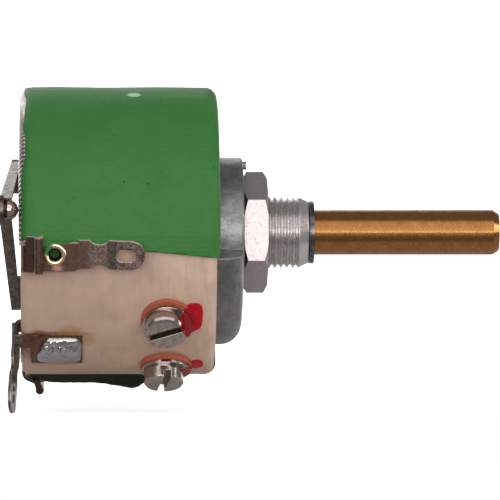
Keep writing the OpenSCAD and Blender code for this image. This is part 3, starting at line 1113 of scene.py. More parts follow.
@dataclass(frozen=True)
class OxidisedStrap(Metal):
    """Brass browned by firing, turning mottled grey along the solder lug.

    Attributes:
        tin: colour of the tinned lug.
        oxide: colour of the spots on it.
        mottle: pattern of those spots.
        flow: pattern of the tinning.
        tin_from: depth ahead of which it is tinned, in millimetres.
        tin_wander: how far the pattern moves that limit, in millimetres.
        sheen_colour: colour of the painted pinkish sheen below the eyelet.
        sheen_patch: where that painted sheen is.
        rubbed_and_lit: colour of the painted highlight along its upper edges.
        edge_sheen_width: width of that painted highlight, in millimetres.
        low_dark: colour that the terminal takes below a height, darker towards the bottom.
        low_dark_at: height in the middle of the change, in millimetres.
        low_dark_over: length of the change, in millimetres.
        cover: strength of the painted highlight and of the darkening below.
    """

    tin: Colour = (0.36, 0.29, 0.25)
    oxide: Colour = (0.14, 0.09, 0.07)
    mottle: Grain = Grain(0.3, 2.0, 0.6)
    flow: Grain = Grain(1.2, 3.0, 0.6)
    tin_from: float = 20.5
    tin_wander: float = 2.5
    sheen_colour: Colour = (0.75, 0.36, 0.32)
    sheen_patch: Spot = Spot(polar(19.3, -14.2, 24.5), (0.7, 2.0, 0.5), 0.9)
    rubbed_and_lit: Colour = (0.85, 0.66, 0.58)
    edge_sheen_width: float = 0.3
    low_dark: Colour = (0.05, 0.034, 0.028)
    low_dark_at: float = -13.0
    low_dark_over: float = 4.0
    cover: float = 0.85

    def shader(self) -> Shader:
        """Adds the painted sheen, the tin, the darkening below a height and the painted
        highlight on upper edges.

        Returns:
            The shader.
        """
        shader = super().shader()
        _, _, depth = shader.around()
        _, _, height = shader.axes()
        flow = shader.grain(self.flow)
        # Painted sheen: a pinkish patch below the eyelet stands in for a highlight.
        sheen_patch = shader.blob(self.sheen_patch) * flow * 1.4
        colour = shader.mix(sheen_patch, shader.fed("Base Color"), self.sheen_colour)
        ahead = (depth + flow.swing() * self.tin_wander).below(self.tin_from, 1.2)
        spots = shader.grain(self.mottle).above(0.5, 0.25)
        tin = shader.mix(spots, self.tin, self.oxide)
        colour = shader.mix(ahead * (flow * 0.5 + 0.55).clamped(), colour, tin)
        # Below a height the terminal turns darker towards the bottom.
        below = height.below(self.low_dark_at, self.low_dark_over)
        colour = shader.mix(below * self.cover, colour, self.low_dark)
        # Painted highlight: edges that round off upwards are lightened and made less metallic,
        # as if lit from above.
        rim = shader.upper_edges(self.edge_sheen_width) * (1.0 - below)
        colour = shader.mix(rim * self.cover, colour, self.rubbed_and_lit)
        return shader.set(base_color=colour, metallic=1.0 - rim * 0.6)


ZINC = CastZinc(
    "die-cast zinc",
    light=(0.3, 0.295, 0.29),
    dark=(0.17, 0.168, 0.165),
    shine=(0.3, 0.42),
    patch=1.3,
    tarnish=0.5,
    edge=0.32,
    metallic=0.92,
    glint=(0.56, 0.55, 0.55),
    glints=0.3,
    rubbed_edge_sheen=(0.6, 0.57, 0.57),
    wear_and_sheen=0.9,
    shade_reach=0.5,
)
NICKEL = Metal(
    "nickel plate",
    light=(0.5, 0.44, 0.43),
    dark=(0.36, 0.31, 0.3),
    shine=(0.32, 0.42),
    patch=0.3,
    tarnish=0.45,
    edge=0.1,
    shade_reach=0.4,
)
SCREW_NICKEL = Lacquered(
    "screw nickel",
    light=(0.5, 0.44, 0.4),
    dark=(0.26, 0.2, 0.165),
    shine=(0.12, 0.26),
    patch=0.7,
    edge=0.14,
    # Pale gold edges: partly abrasion, partly a painted highlight on the chamfer.
    rubbed_edge_sheen=(0.95, 0.84, 0.75),
    wear_and_sheen=0.8,
    # Painted shade in the screw slots and under the heads.
    shade_reach=1.0,
    shade_colour=(0.06, 0.04, 0.03),
)
WIRE = Metal(
    "resistance wire",
    light=(0.72, 0.63, 0.6),
    dark=(0.36, 0.28, 0.27),
    shine=(0.26, 0.42),
    patch=0.5,
    edge=0.0,
)
SHAFT_BRASS = Metal(
    "aged shaft brass",
    light=(0.4, 0.176, 0.057),
    dark=(0.29, 0.118, 0.036),
    shine=(0.22, 0.32),
    patch=1.6,
    tarnish=0.45,
    lay=Lay.AROUND_SHAFT,
    line=0.12,
    relief=0.002,
    edge=0.1,
    glint=(0.7, 0.42, 0.22),
    glints=0.3,
)
BRIGHT_BRASS = Metal(
    "bright brass",
    light=(0.8, 0.52, 0.27),
    dark=(0.4, 0.22, 0.1),
    shine=(0.2, 0.36),
    patch=0.7,
    tarnish=0.35,
    edge=0.08,
)
EYELET_BRASS = Eyelet(
    "eyelet brass",
    light=(0.98, 0.74, 0.5),
    dark=(0.55, 0.33, 0.18),
    shine=(0.2, 0.34),
    patch=0.6,
    tarnish=0.3,
    edge=0.05,
)
BRONZE = Metal(
    "darkened bronze",
    light=(0.24, 0.2, 0.175),
    dark=(0.07, 0.058, 0.048),
    shine=(0.28, 0.42),
    patch=0.9,
    tarnish=0.5,
    lay=Lay.ALONG_LEGS,
    line=0.3,
    relief=0.004,
    rubbed_edge_sheen=(0.42, 0.37, 0.33),
    wear_and_sheen=0.8,
    shade_reach=0.5,
)
BLACK_STEEL = Metal(
    "oiled spring steel",
    light=(0.22, 0.2, 0.2),
    dark=(0.05, 0.045, 0.045),
    shine=(0.22, 0.36),
    patch=0.8,
    tarnish=0.5,
    edge=0.06,
)
CONTACT = Metal(
    "contact metal",
    light=(0.75, 0.6, 0.54),
    dark=(0.4, 0.28, 0.22),
    shine=(0.14, 0.28),
    patch=0.7,
    tarnish=0.35,
    edge=0.05,
)
TERMINAL = FluxedTerminal(
    "fluxed terminal",
    light=(0.3, 0.25, 0.23),
    dark=(0.09, 0.065, 0.055),
    shine=(0.24, 0.42),
    patch=1.0,
    tarnish=0.5,
    edge=0.15,
    wear_and_sheen=0.7,
    shade_reach=0.5,
)
SOLDER = Metal(
    "solder",
    light=(0.5, 0.49, 0.51),
    dark=(0.27, 0.26, 0.26),
    shine=(0.22, 0.34),
    patch=0.9,
    tarnish=0.35,
    line=0.3,
    relief=0.02,
    edge=0.0,
)
STRAP = OxidisedStrap(
    "oxidised strap",
    light=(0.24, 0.14, 0.105),
    dark=(0.075, 0.042, 0.033),
    shine=(0.24, 0.4),
    patch=0.8,
    tarnish=0.5,
    relief=0.008,
    edge=0.22,
    rubbed_edge_sheen=(0.62, 0.38, 0.28),
    wear_and_sheen=0.9,
    shade_reach=0.4,
)
RED_FIBRE = Fibre("red fibre", (0.5, 0.115, 0.055), (0.34, 0.07, 0.036), Smear())
LAMINATE = Fibre("brown laminate", (0.13, 0.065, 0.035), (0.08, 0.04, 0.02))
DISC_CERAMIC = Ceramic("off-white steatite", (0.6, 0.54, 0.47), (0.5, 0.43, 0.36))
GREEN = Enamel()
# Darker enamel for the eyelet plugs: painted shade of their recess.
SHADED_PLUG_GREEN = Enamel(
    "plug enamel with painted shade", (0.012, 0.05, 0.014), (0.018, 0.075, 0.02), (0.006, 0.026, 0.008)
)
# Near-black enamel for the fillet along the end's strap, much darker than the coat.
NEAR_BLACK_GREEN = Enamel(
    "near-black enamel", (0.012, 0.018, 0.013), (0.018, 0.027, 0.017), (0.009, 0.01, 0.008)
)


# Pieces


def dress(finish: Finish, *names: str) -> None:
    """Gives carried-over CAD nodes their finish.

    Args:
        finish: what they are made of.
        names: the nodes.
    """
    material = finish.material()
    for name in names:
        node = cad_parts[name]
        node.data.materials.clear()
        node.data.materials.append(material)
        LOG.info("%s dressed with %s", name, material.name)


def piece(
    name: str,
    mesh: bmesh.types.BMesh,
    material: bpy.types.Material,
    body: Body,
    smooth: float = 80.0,
) -> bpy.types.Object:
    """Makes an object of a finished bmesh.

    Args:
        name: the piece's name.
        mesh: its shape, freed here.
        material: its finish.
        body: the body that it moves with.
        smooth: sharpest angle shaded smooth, in degrees.

    Returns:
        The object, at the origin.
    """
    data = bpy.data.meshes.new(name)
    mesh.to_mesh(data)
    mesh.free()
    data.materials.append(material)
    data.polygons.foreach_set("use_smooth", [True] * len(data.polygons))
    data.set_sharp_from_angle(angle=math.radians(smooth))
    made = bpy.data.objects.new(name, data)
    bpy.context.collection.objects.link(made)
    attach(made, body.value)
    LOG.info("%s: %d faces", name, len(data.polygons))
    return made


def only(geom: Iterable[Any], kind: type) -> list[Any]:
    """Picks the elements of one kind, such as vertices, from an operator's result."""
    return [element for element in geom if isinstance(element, kind)]


def arc(
    centre: tuple[float, float], radius: float, start: float, end: float, steps: int
) -> list[tuple[float, float]]:
    """Gives points on an arc in radius and depth.

    Args:
        centre: radius and depth of its centre.
        radius: its own radius.
        start: first angle from the radial direction, in degrees.
        end: last angle.
        steps: number of stretches.

    Returns:
        The points, first and last included.
    """
    turns = [math.radians(start + (end - start) * i / steps) for i in range(steps + 1)]
    return [(centre[0] + radius * math.cos(t), centre[1] + radius * math.sin(t)) for t in turns]


@dataclass(frozen=True)
class Lump:
    """A soft lump that clings to the outside of the ring.

    Attributes:
        name: the piece's name, whose length seeds its unevenness.
        depth: first and last depth that it covers, in millimetres.
        phi: first and last angle that it covers, in degrees.
        seat: radius of the surface under it.
        heights: its height at the first and the last angle.
        step_at: angle at which it passes from one height to the other.
        step: width of that step, in degrees.
        square: how square its outline is, 2 for an ellipse.
        flat: how flat its top is.
        ragged: unevenness of its outline, as a share of its size.
        ragged_waves: how close together the outline's waves are.
        rough: height of its surface's unevenness, as a share of its height.
        rough_waves: how close together the surface's waves are.
        shear: how far its first angle moves from its first to its last depth.
        grow: height added towards its first depth, in millimetres.
        sunk: how far its underside lies below its seat, in millimetres.
        grid: stretches along and round.
    """

    name: str
    depth: tuple[float, float]
    phi: tuple[float, float]
    seat: float
    heights: tuple[float, float]
    step_at: float = 0.0
    step: float = 1.0
    square: float = 4.0
    flat: float = 6.0
    ragged: float = 0.08
    ragged_waves: float = 0.945
    rough: float = 0.1
    rough_waves: float = 5.67
    shear: float = 0.0
    grow: float = 0.0
    sunk: float = 0.08
    grid: tuple[int, int] = (32, 20)

    def height(self, along: float, phi: float) -> float:
        """Gives its height at an angle, before its edge rounds off.

        Args:
            along: place along its depth, from -1 to 1.
            phi: the angle, in degrees.

        Returns:
            The height in millimetres.
        """
        tall = self.heights[0] + self.grow * max(0.0, -along)
        return tall + (self.heights[1] - tall) * passed(phi, self.step_at, self.step)

    def wave(self, along: float, around: float, waves: float) -> float:
        """Gives smooth noise over its grid.

        Args:
            along: place along the shaft, from -1 to 1.
            around: place round the ring, from -1 to 1.
            waves: how close together its waves are.

        Returns:
            Noise from -1 to 1.
        """
        own = len(self.name) * 1.7 / 2.1
        return noise.noise(Vector((along, around, own)) * waves)

    def place(self, along: float, around: float) -> Vector:
        """Gives the place of a point of its flat square grid.

        Args:
            along: place along the shaft, from -1 to 1.
            around: place round the ring, from -1 to 1.

        Returns:
            The point in metres.
        """
        size = max(abs(along), abs(around))
        if size > 0.0:
            power = self.square
            norm = (abs(along) ** power + abs(around) ** power) ** (1.0 / power)
            along, around = along * size / norm, around * size / norm
        spread = 1.0 + self.ragged * self.wave(along, around, self.ragged_waves) * size
        middle = (self.depth[0] + self.depth[1]) / 2
        depth = middle + along * spread * (self.depth[1] - middle)
        first = self.phi[0] + self.shear * (along + 1.0) / 2
        phi = (first + self.phi[1]) / 2 + around * spread * (self.phi[1] - first) / 2
        rise = math.sqrt(max(0.0, 1.0 - size**self.flat))
        bumpy = 1.0 + self.rough * self.wave(along, around, self.rough_waves)
        return polar(self.seat + self.height(along, phi) * rise * bumpy, phi, depth)

    def mesh(self) -> bmesh.types.BMesh:
        """Shapes a grid into the lump and closes its underside.

        Returns:
            The closed shape.
        """
        bm = bmesh.new()
        bmesh.ops.create_grid(bm, x_segments=self.grid[0], y_segments=self.grid[1], size=1.0)
        for vert in bm.verts:
            vert.co = self.place(vert.co.x, vert.co.y)
        rim = [edge for edge in bm.edges if edge.is_boundary]
        made = bmesh.ops.extrude_edge_only(bm, edges=rim)["geom"]
        for vert in only(made, bmesh.types.BMVert):
            _, phi, depth = polar_of(vert.co)
            vert.co = polar(self.seat - self.sunk, phi, depth)
        lower = [edge for edge in only(made, bmesh.types.BMEdge) if edge.is_boundary]
        bmesh.ops.edgeloop_fill(bm, edges=lower)
        bmesh.ops.recalc_face_normals(bm, faces=bm.faces)
        return bm

    def build(self, material: bpy.types.Material, slot: str) -> None:
        """Makes its piece of a finish."""
        piece(self.name, self.mesh(), material, Body.HOUSING)


@dataclass(frozen=True)
class SolderPillow(Lump):
    """The solder, creased and lumpy along its upper side and plain below.

    Places on it are shares of its span, from 0 at its foot to 1 at its top.

    Attributes:
        ridge: place, width and height of the ridge along its top.
        crease: place, width and depth of the crease under the ridge.
        crease_to: place along the shaft where the crease ends, from -1 to 1.
        lumpy_from: place above which it is lumpy.
        lumps: height of its lumps, in millimetres.
        lump_grid: how close together they are, along the shaft and upwards.
        chip: height of their sharp-edged chips, as a share of their own.
        cut: how far its upper rear corner is cut back, in millimetres.
        cut_from: place above which it is cut back.
    """

    ridge: tuple[float, float, float] = (0.86, 0.12, 0.22)
    crease: tuple[float, float, float] = (0.62, 0.1, 0.2)
    crease_to: float = 0.55
    lumpy_from: float = 0.52
    lumps: float = 0.26
    lump_grid: tuple[float, float] = (3.6, 6.0)
    chip: float = 0.4
    cut: float = 0.85
    cut_from: float = 0.375

    def share(self, phi: float) -> float:
        """Gives an angle's place on its span."""
        return (phi - self.phi[0]) / (self.phi[1] - self.phi[0])

    def height(self, along: float, phi: float) -> float:
        """Adds the ridge, the crease and the lumps.

        Args:
            along: place along its depth, from -1 to 1.
            phi: the angle, in degrees.

        Returns:
            The height in millimetres.
        """
        up = self.share(phi)
        ridge_at, ridge_width, ridge_height = self.ridge
        crease_at, crease_width, crease_depth = self.crease
        ridge = ridge_height * bell(up, ridge_at, ridge_width)
        crease = crease_depth * bell(up, crease_at, crease_width)
        crease *= 1.0 - passed(along, self.crease_to, 0.2)
        spot = Vector((along * self.lump_grid[0], up * self.lump_grid[1], 2.0))
        chips = noise.cell(spot + noise.noise_vector(spot * 0.7) * 0.6) - 0.5
        wavy = noise.noise(spot * 1.3) + self.chip * chips
        lumpy = self.lumps * passed(up, self.lumpy_from, 0.05)
        plain = self.heights[0] + (self.heights[1] - self.heights[0]) * up
        return plain + ridge - crease + lumpy * wavy

    def place(self, along: float, around: float) -> Vector:
        """Cuts back the upper rear corner.

        Args:
            along: place along the shaft, from -1 to 1.
            around: place round the ring, from -1 to 1.

        Returns:
            The point in metres.
        """
        radius, phi, depth = polar_of(super().place(along, around))
        up = (self.share(phi) - self.cut_from) / (1.0 - self.cut_from)
        return polar(radius, phi, depth - self.cut * max(0.0, along) * max(0.0, up))


# Ring: core, winding and enamel


@dataclass
class Winding:
    """Round resistance wire, one rounded turn after another.

    Attributes:
        ring: the core that it is wound on.
        half_width: half of the wire's width.
        half_height: half of its height off the core.
        lift: height of its middle above the ceramic.
        sides: sides of the wire's section.
        corner_steps: stretches round each corner.
        slant: how far a turn leans over on the rear face, in degrees.
        early_slant: share of the slant that it gains on the outer edge.
        weld: distance at which the turn's ends join, in millimetres.
    """

    ring: RingSizes = RING
    half_width: float = 0.23
    half_height: float = 0.14
    lift: float = 0.155
    sides: int = 10
    corner_steps: int = 4
    slant: float = 2.6
    early_slant: float = 0.45
    weld: float = 0.02

    def section(self) -> bmesh.types.BMesh:
        """Draws the wire's section where a turn starts, at the outside's front.

        Returns:
            One open loop at angle 0.
        """
        bm = bmesh.new()
        bmesh.ops.create_circle(bm, cap_ends=False, radius=1.0, segments=self.sides)
        sizes = (self.half_height * MM, self.half_width * MM, 1.0)
        bmesh.ops.scale(bm, vec=sizes, verts=bm.verts)
        upright = Matrix(((0, 0, 1), (1, 0, 0), (0, 1, 0))).to_4x4()
        start = polar(self.ring.outer + self.lift, 0.0, self.ring.front + self.ring.corner)
        matrix = Matrix.Translation(start) @ upright
        bmesh.ops.transform(bm, matrix=matrix, verts=bm.verts)
        return bm

    def turn(self) -> bmesh.types.BMesh:
        """Sweeps the wire's section once round the ring's section.

        Returns:
            One closed turn at angle 0.
        """
        ring, bm = self.ring, self.section()
        edges = list(bm.edges)
        length = ring.rear - ring.front - 2 * ring.corner
        wall = ring.outer - ring.bore - 2 * ring.corner
        outer, bore = ring.outer - ring.corner, ring.bore + ring.corner
        front, rear = ring.front + ring.corner, ring.rear - ring.corner
        radial, depth = Vector((0, -MM, 0)), Vector((-MM, 0, 0))
        runs = (depth * length, -radial * wall, -depth * length, radial * wall)
        corners = ((outer, rear), (bore, rear), (bore, front), (outer, front))
        for run, (radius, place) in zip(runs, corners):
            made = bmesh.ops.extrude_edge_only(bm, edges=edges)["geom"]
            bmesh.ops.translate(bm, vec=run, verts=only(made, bmesh.types.BMVert))
            spun = bmesh.ops.spin(
                bm,
                geom=only(made, bmesh.types.BMEdge),
                cent=polar(radius, 0.0, place),
                axis=(0, 0, -1),
                angle=math.radians(90.0),
                steps=self.corner_steps,
            )["geom_last"]
            edges = only(spun, bmesh.types.BMEdge)
        bmesh.ops.remove_doubles(bm, verts=bm.verts, dist=self.weld * MM)
        for vert in bm.verts:
            radius, phi, depth = polar_of(vert.co)
            vert.co = polar(radius, phi - self.lean(radius, depth), depth)
        bmesh.ops.recalc_face_normals(bm, faces=bm.faces)
        return bm

    def lean(self, radius: float, depth: float) -> float:
        """Gives how far a turn lags at a place, so that it advances over the rear.

        Args:
            radius: the place's radius, in millimetres.
            depth: its depth, in millimetres.

        Returns:
            The lag in degrees.
        """
        ring = self.ring
        if radius < ring.bore + ring.corner:
            return self.slant * depth / ring.rear
        over = max(0.0, depth - (ring.rear - 2 * ring.corner)) / (2 * ring.corner)
        inwards = max(0.0, ring.outer - radius) / (ring.outer - ring.bore)
        gained = self.early_slant + (1.0 - self.early_slant) * inwards
        return self.slant * min(1.0, over * gained)

    def build(self) -> None:
        """Repeats the turn along the wound arc."""
        ring, bm = self.ring, self.turn()
        first = [*bm.verts, *bm.edges, *bm.faces]
        copies = [bmesh.ops.duplicate(bm, geom=first)["geom"] for _ in range(1, ring.turns)]
        for index, geom in enumerate((first, *copies)):
            bmesh.ops.rotate(
                bm,
                cent=(0, 0, 0),
                matrix=turned(ring.wound_from + ring.turn_step * (index + 0.5)),
                verts=only(geom, bmesh.types.BMVert),
            )
        wire = WIRE.material()
        made = piece("wire_turns", bm, wire, Body.HOUSING, 40.0)
        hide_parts("resistance_winding")


@dataclass
class EnamelCoat:
    """Enamel over the outside, the front and the bore of the winding.

    Attributes:
        ring: the core under it.
        over: height of its skin above the ceramic.
        skin: its thickness.
        corner: rounding of its edges.
        strip: width left bare at the rear, near the viewer.
        bare_from: angle from which its rear edge draws back further.
        bare: how far it draws back there.
        drawn: length over which the skin follows its rear edge.
        slant: slant of its brushed ends, in degrees.
        end_back: how far an end lies beyond the first turn, in degrees.
        spare: angle spun past the winding, before the ends are cut.
        step: angle between two of its sections, in degrees.
        rows: stretches along its outside.
        bore_swell: share of the unevenness that the bore's side has.
    """

    ring: RingSizes = RING
    over: float = 0.42
    skin: float = 0.1
    corner: float = 1.55
    strip: float = 0.1
    bare_from: float = 27.0
    bare: float = 0.38
    drawn: float = 6.0
    slant: float = 5.5
    end_back: float = 2.6
    spare: float = 8.0
    step: float = 1.0
    rows: int = 26
    bore_swell: float = 0.3

    @property
    def high(self) -> float:
        """Radius of its outside."""
        return self.ring.outer + self.over

    def profile(self) -> list[tuple[float, float]]:
        """Draws the skin's section from the bore's rear round to the outside's rear.

        Returns:
            Radius and depth of each point.
        """
        low, rear, c = self.ring.bore - self.over, self.ring.rear, self.corner
        front = self.ring.front - self.over
        run = (rear - self.strip - front - c) / self.rows
        outside = [(self.high, front + c + run * (i + 1)) for i in range(self.rows)]
        return (
            [(low, rear - 0.3), (low, rear * 0.5), (low, front + c)]
            + arc((low + c, front + c), c, 180, 270, 6)[1:]
            + arc((self.high - c, front + c), c, 270, 360, 8)
            + outside
        )

    def bare_strip(self, phi: float) -> float:
        """Gives how far the wavy rear edge draws back, in millimetres.

        Args:
            phi: the angle on the ring, in degrees.

        Returns:
            Extra width of the bare strip.
        """
        wavy = ripple(phi, 12.0, 0.15, 60.0) + ripple(phi, 29.0, 0.05)
        return passed(phi, self.bare_from, 4.0) * (self.bare + wavy) + ripple(phi, 31.0, 0.02)

    def wrapped(self, depth: float) -> float:
        """Gives the skin's radius outside, where it follows the wire over the rear edge.

        Args:
            depth: depth of the place, in millimetres.

        Returns:
            The radius in millimetres.
        """
        ring = self.ring
        past = max(0.0, depth - (ring.rear - ring.corner))
        bend = ring.corner + self.over
        return ring.outer - ring.corner + math.sqrt(bend**2 - past**2)

    def swell(self, phi: float, depth: float) -> float:
        """Gives the skin's unevenness in millimetres at an angle and depth."""
        spot = Vector((phi / 14.0, depth / 7.0, 3.7))
        return 0.085 * noise.noise(spot) + 0.02 * noise.noise(spot * 4.3)

    def spun(self) -> bmesh.types.BMesh:
        """Spins the section along the wound arc and roughens it.

        Returns:
            The skin's outer surface, a little longer than the winding.
        """
        ring, bm = self.ring, bmesh.new()
        start, end = ring.wound_from - self.spare, ring.wound_to + self.spare
        points = [bm.verts.new(polar(r, start, d)) for r, d in self.profile()]
        edges = [bm.edges.new(pair) for pair in zip(points, points[1:])]
        bmesh.ops.spin(
            bm,
            geom=points + edges,
            cent=(0, 0, 0),
            axis=(-1, 0, 0),
            angle=math.radians(end - start),
            steps=round((end - start) / self.step),
        )
        for vert in bm.verts:
            radius, phi, depth = polar_of(vert.co)
            phi = phi if phi > start else phi + 360.0
            swell = self.swell(phi, depth)
            if radius <= ring.bore + 1.0:
                swell *= self.bore_swell
            if radius > self.high - 0.01:
                share = max(0.0, (depth - ring.rear + self.drawn) / self.drawn)
                depth -= self.bare_strip(phi) * share
                radius = self.wrapped(depth)
            vert.co = polar(radius + swell, phi, depth)
        return bm

    def build(self, enamel: bpy.types.Material) -> None:
        """Brushes off the skin's ends and gives it its thickness.

        Args:
            enamel: its finish.
        """
        bm = self.spun()
        for mirrored in (False, True):
            self._brush_off(bm, mirrored)
        bmesh.ops.recalc_face_normals(bm, faces=bm.faces)
        if self._faces_inwards(bm):
            bmesh.ops.reverse_faces(bm, faces=bm.faces)
        made = piece("enamel_coat", bm, enamel, Body.HOUSING, 60.0)
        solid = made.modifiers.new("skin", "SOLIDIFY")
        solid.thickness, solid.offset = self.skin * MM, -1.0
        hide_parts("enamel_coating")

    @staticmethod
    def _faces_inwards(bm: bmesh.types.BMesh) -> bool:
        """Tells whether the outermost face points at the shaft.

        Args:
            bm: the skin.

        Returns:
            True if its faces are the wrong way round.
        """
        outermost = max(bm.faces, key=lambda face: polar_of(face.calc_center_median())[0])
        centre = outermost.calc_center_median()
        return outermost.normal.dot(Vector((0, centre.y, centre.z))) < 0

    def _brush_off(self, bm: bmesh.types.BMesh, mirrored: bool) -> None:
        """Cuts one end at its slant.

        Args:
            bm: the skin.
            mirrored: False for the start's end, True for the other.
        """
        ring, lean = self.ring, math.radians(self.slant)
        phi = ring.wound_from - self.end_back
        place = polar(ring.outer, phi, (ring.front + ring.rear) / 2)
        normal = turned(phi) @ Vector((math.sin(lean), 0, math.cos(lean)))
        if mirrored:
            across = polar(1.0, ring.gap_mid + 90.0, 0.0).normalized()
            place = place - 2 * place.dot(across) * across
            normal = normal - 2 * normal.dot(across) * across
        reach, near_enough = Vector((0.0, place.y, place.z)).normalized(), 0.8
        geom = set()
        for vert in bm.verts:
            if Vector((0.0, vert.co.y, vert.co.z)).normalized().dot(reach) > near_enough:
                geom.update((vert, *vert.link_edges, *vert.link_faces))
        bmesh.ops.bisect_plane(
            bm,
            geom=list(geom),
            dist=1e-6,
            plane_co=place,
            plane_no=normal,
            clear_inner=True,
        )


def plug(name: str, phi: float) -> Lump:
    """Shapes the enamel pooled in an eyelet at an angle on the ring."""
    return Lump(
        name,
        depth=(24.04, 25.7),
        phi=(phi - 2.45, phi + 2.45),
        seat=18.2,
        heights=(0.6, 0.6),
        square=2.0,
        flat=8.0,
        ragged=0.0,
        grid=(16, 16),
    )


@dataclass
class Ring:
    """The ceramic ring with all that is wound, brushed and painted on it.

    Attributes:
        winding: its wire.
        coat: the enamel over the wire.
        plugs: enamel pooled in the eyelets.
        over_strap: enamel run over the start's strap.
        fillet: near-black enamel along the end's strap.
    """

    winding: Winding = field(default_factory=Winding)
    coat: EnamelCoat = field(default_factory=EnamelCoat)
    plugs: tuple[Lump, ...] = (
        plug("enamel_plug_start", -8.5),
        plug("enamel_plug_end", -101.5),
    )
    over_strap: Lump = Lump(
        "enamel_over_strap",
        depth=(21.9, 28.0),
        phi=(-4.3, -2.4),
        seat=19.05,
        heights=(1.0, 0.32),
        step_at=-3.6,
        step=0.3,
        ragged=0.1,
        shear=-3.0,
        grid=(40, 20),
    )
    fillet: Lump = Lump(
        "enamel_fillet",
        depth=(12.2, 28.4),
        phi=(-99.5, -92.5),
        seat=18.86,
        heights=(1.36, 0.08),
        step_at=-94.6,
        ragged=0.04,
        grow=0.85,
        grid=(50, 20),
    )

    def build(self) -> None:
        """Dresses the core and builds its winding and enamel."""
        dress(StainedCeramic(), "ceramic_core")
        self.winding.build()
        # The plugs get the darker enamel, painted shade of their recess.
        green, pooled = GREEN.material(), SHADED_PLUG_GREEN.material()
        self.coat.build(green)
        for lump in self.plugs:
            lump.build(pooled, "green_enamel")
        self.over_strap.build(green, "green_enamel")
        self.fillet.build(NEAR_BLACK_GREEN.material(), "green_enamel")


# Metalwork and lacquer


@dataclass
class Hardware:
    """Casting, nut, screws, washers, terminals and the solder on one of them.

    Attributes:
        solder: the solder that holds the middle terminal to the ring.
    """

    solder: Lump = SolderPillow(
        "solder_pillow",
        depth=(21.4, 27.2),
        phi=(-62.4, -45.8),
        seat=19.21,
        heights=(0.4, 0.6),
        square=5.0,
        flat=7.0,
        ragged=0.06,
        rough=0.04,
        grid=(84, 64),
    )

    def build(self) -> None:
        """Dresses each node with its finish and builds the solder."""
        dress(ZINC, "mounting_housing")
        dress(NICKEL, "mounting_nut")
        dress(SCREW_NICKEL, "core_screws", "core_screw_washers")
        dress(RED_FIBRE, "fibre_washers")
        dress(LAMINATE, "collector_insulator")
        dress(STRAP, "start_terminal", "end_terminal")
        dress(EYELET_BRASS, "start_eyelet", "end_eyelet")
        dress(BRIGHT_BRASS, "thrust_washer", "brush_rivets")
        dress(TERMINAL, "wiper_terminal")
        mesh, solder = self.solder.mesh(), SOLDER.material()
        pillow = piece(self.solder.name, mesh, solder, Body.HOUSING, 32.0)
        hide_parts("terminal_solder")


@dataclass
class Rotor:
    """Shaft, disc, spring and contact that turn together."""

    def build(self) -> None:
        """Dresses each node with its finish."""
        dress(SHAFT_BRASS, "shaft")
        dress(BLACK_STEEL, "retaining_ring")
        dress(DISC_CERAMIC, "rotor_disc")
        dress(BRONZE, "wiper_spring", "collector_brush")
        dress(CONTACT, "wiper_contact")


@dataclass
class LockingLacquer:
    """Dabs of red lacquer brushed on beside each screw.

    Attributes:
        dabs: the dabs.
    """

    dabs: tuple[Lump, ...] = (
        Lump(
            "locking_lacquer_upper",
            depth=(5.6, 8.1),
            phi=(-43.8, -29.1),
            seat=18.86,
            heights=(0.16, 0.2),
            square=2.8,
            ragged=0.25,
            rough=0.3,
            grid=(24, 36),
        ),
        Lump(
            "locking_lacquer_lower",
            depth=(5.3, 7.2),
            phi=(-72.3, -62.3),
            seat=18.86,
            heights=(0.14, 0.18),
            square=2.0,
            ragged=0.2,
            rough=0.3,
            grid=(24, 36),
        ),
    )

    def build(self) -> None:
        """Builds every dab."""
        lacquer = Lacquer().material()
        for dab in self.dabs:
            dab.build(lacquer, "red_fibre")


# Studio


@dataclass(frozen=True)
class SoftBox:
    """One rectangular lamp.

    Attributes:
        name: its name.
        place: where it hangs, in metres.
        size: its width and height, in metres.
        power: its power, in watts.
    """

    name: str
    place: tuple[float, float, float]
    size: tuple[float, float]
    power: float


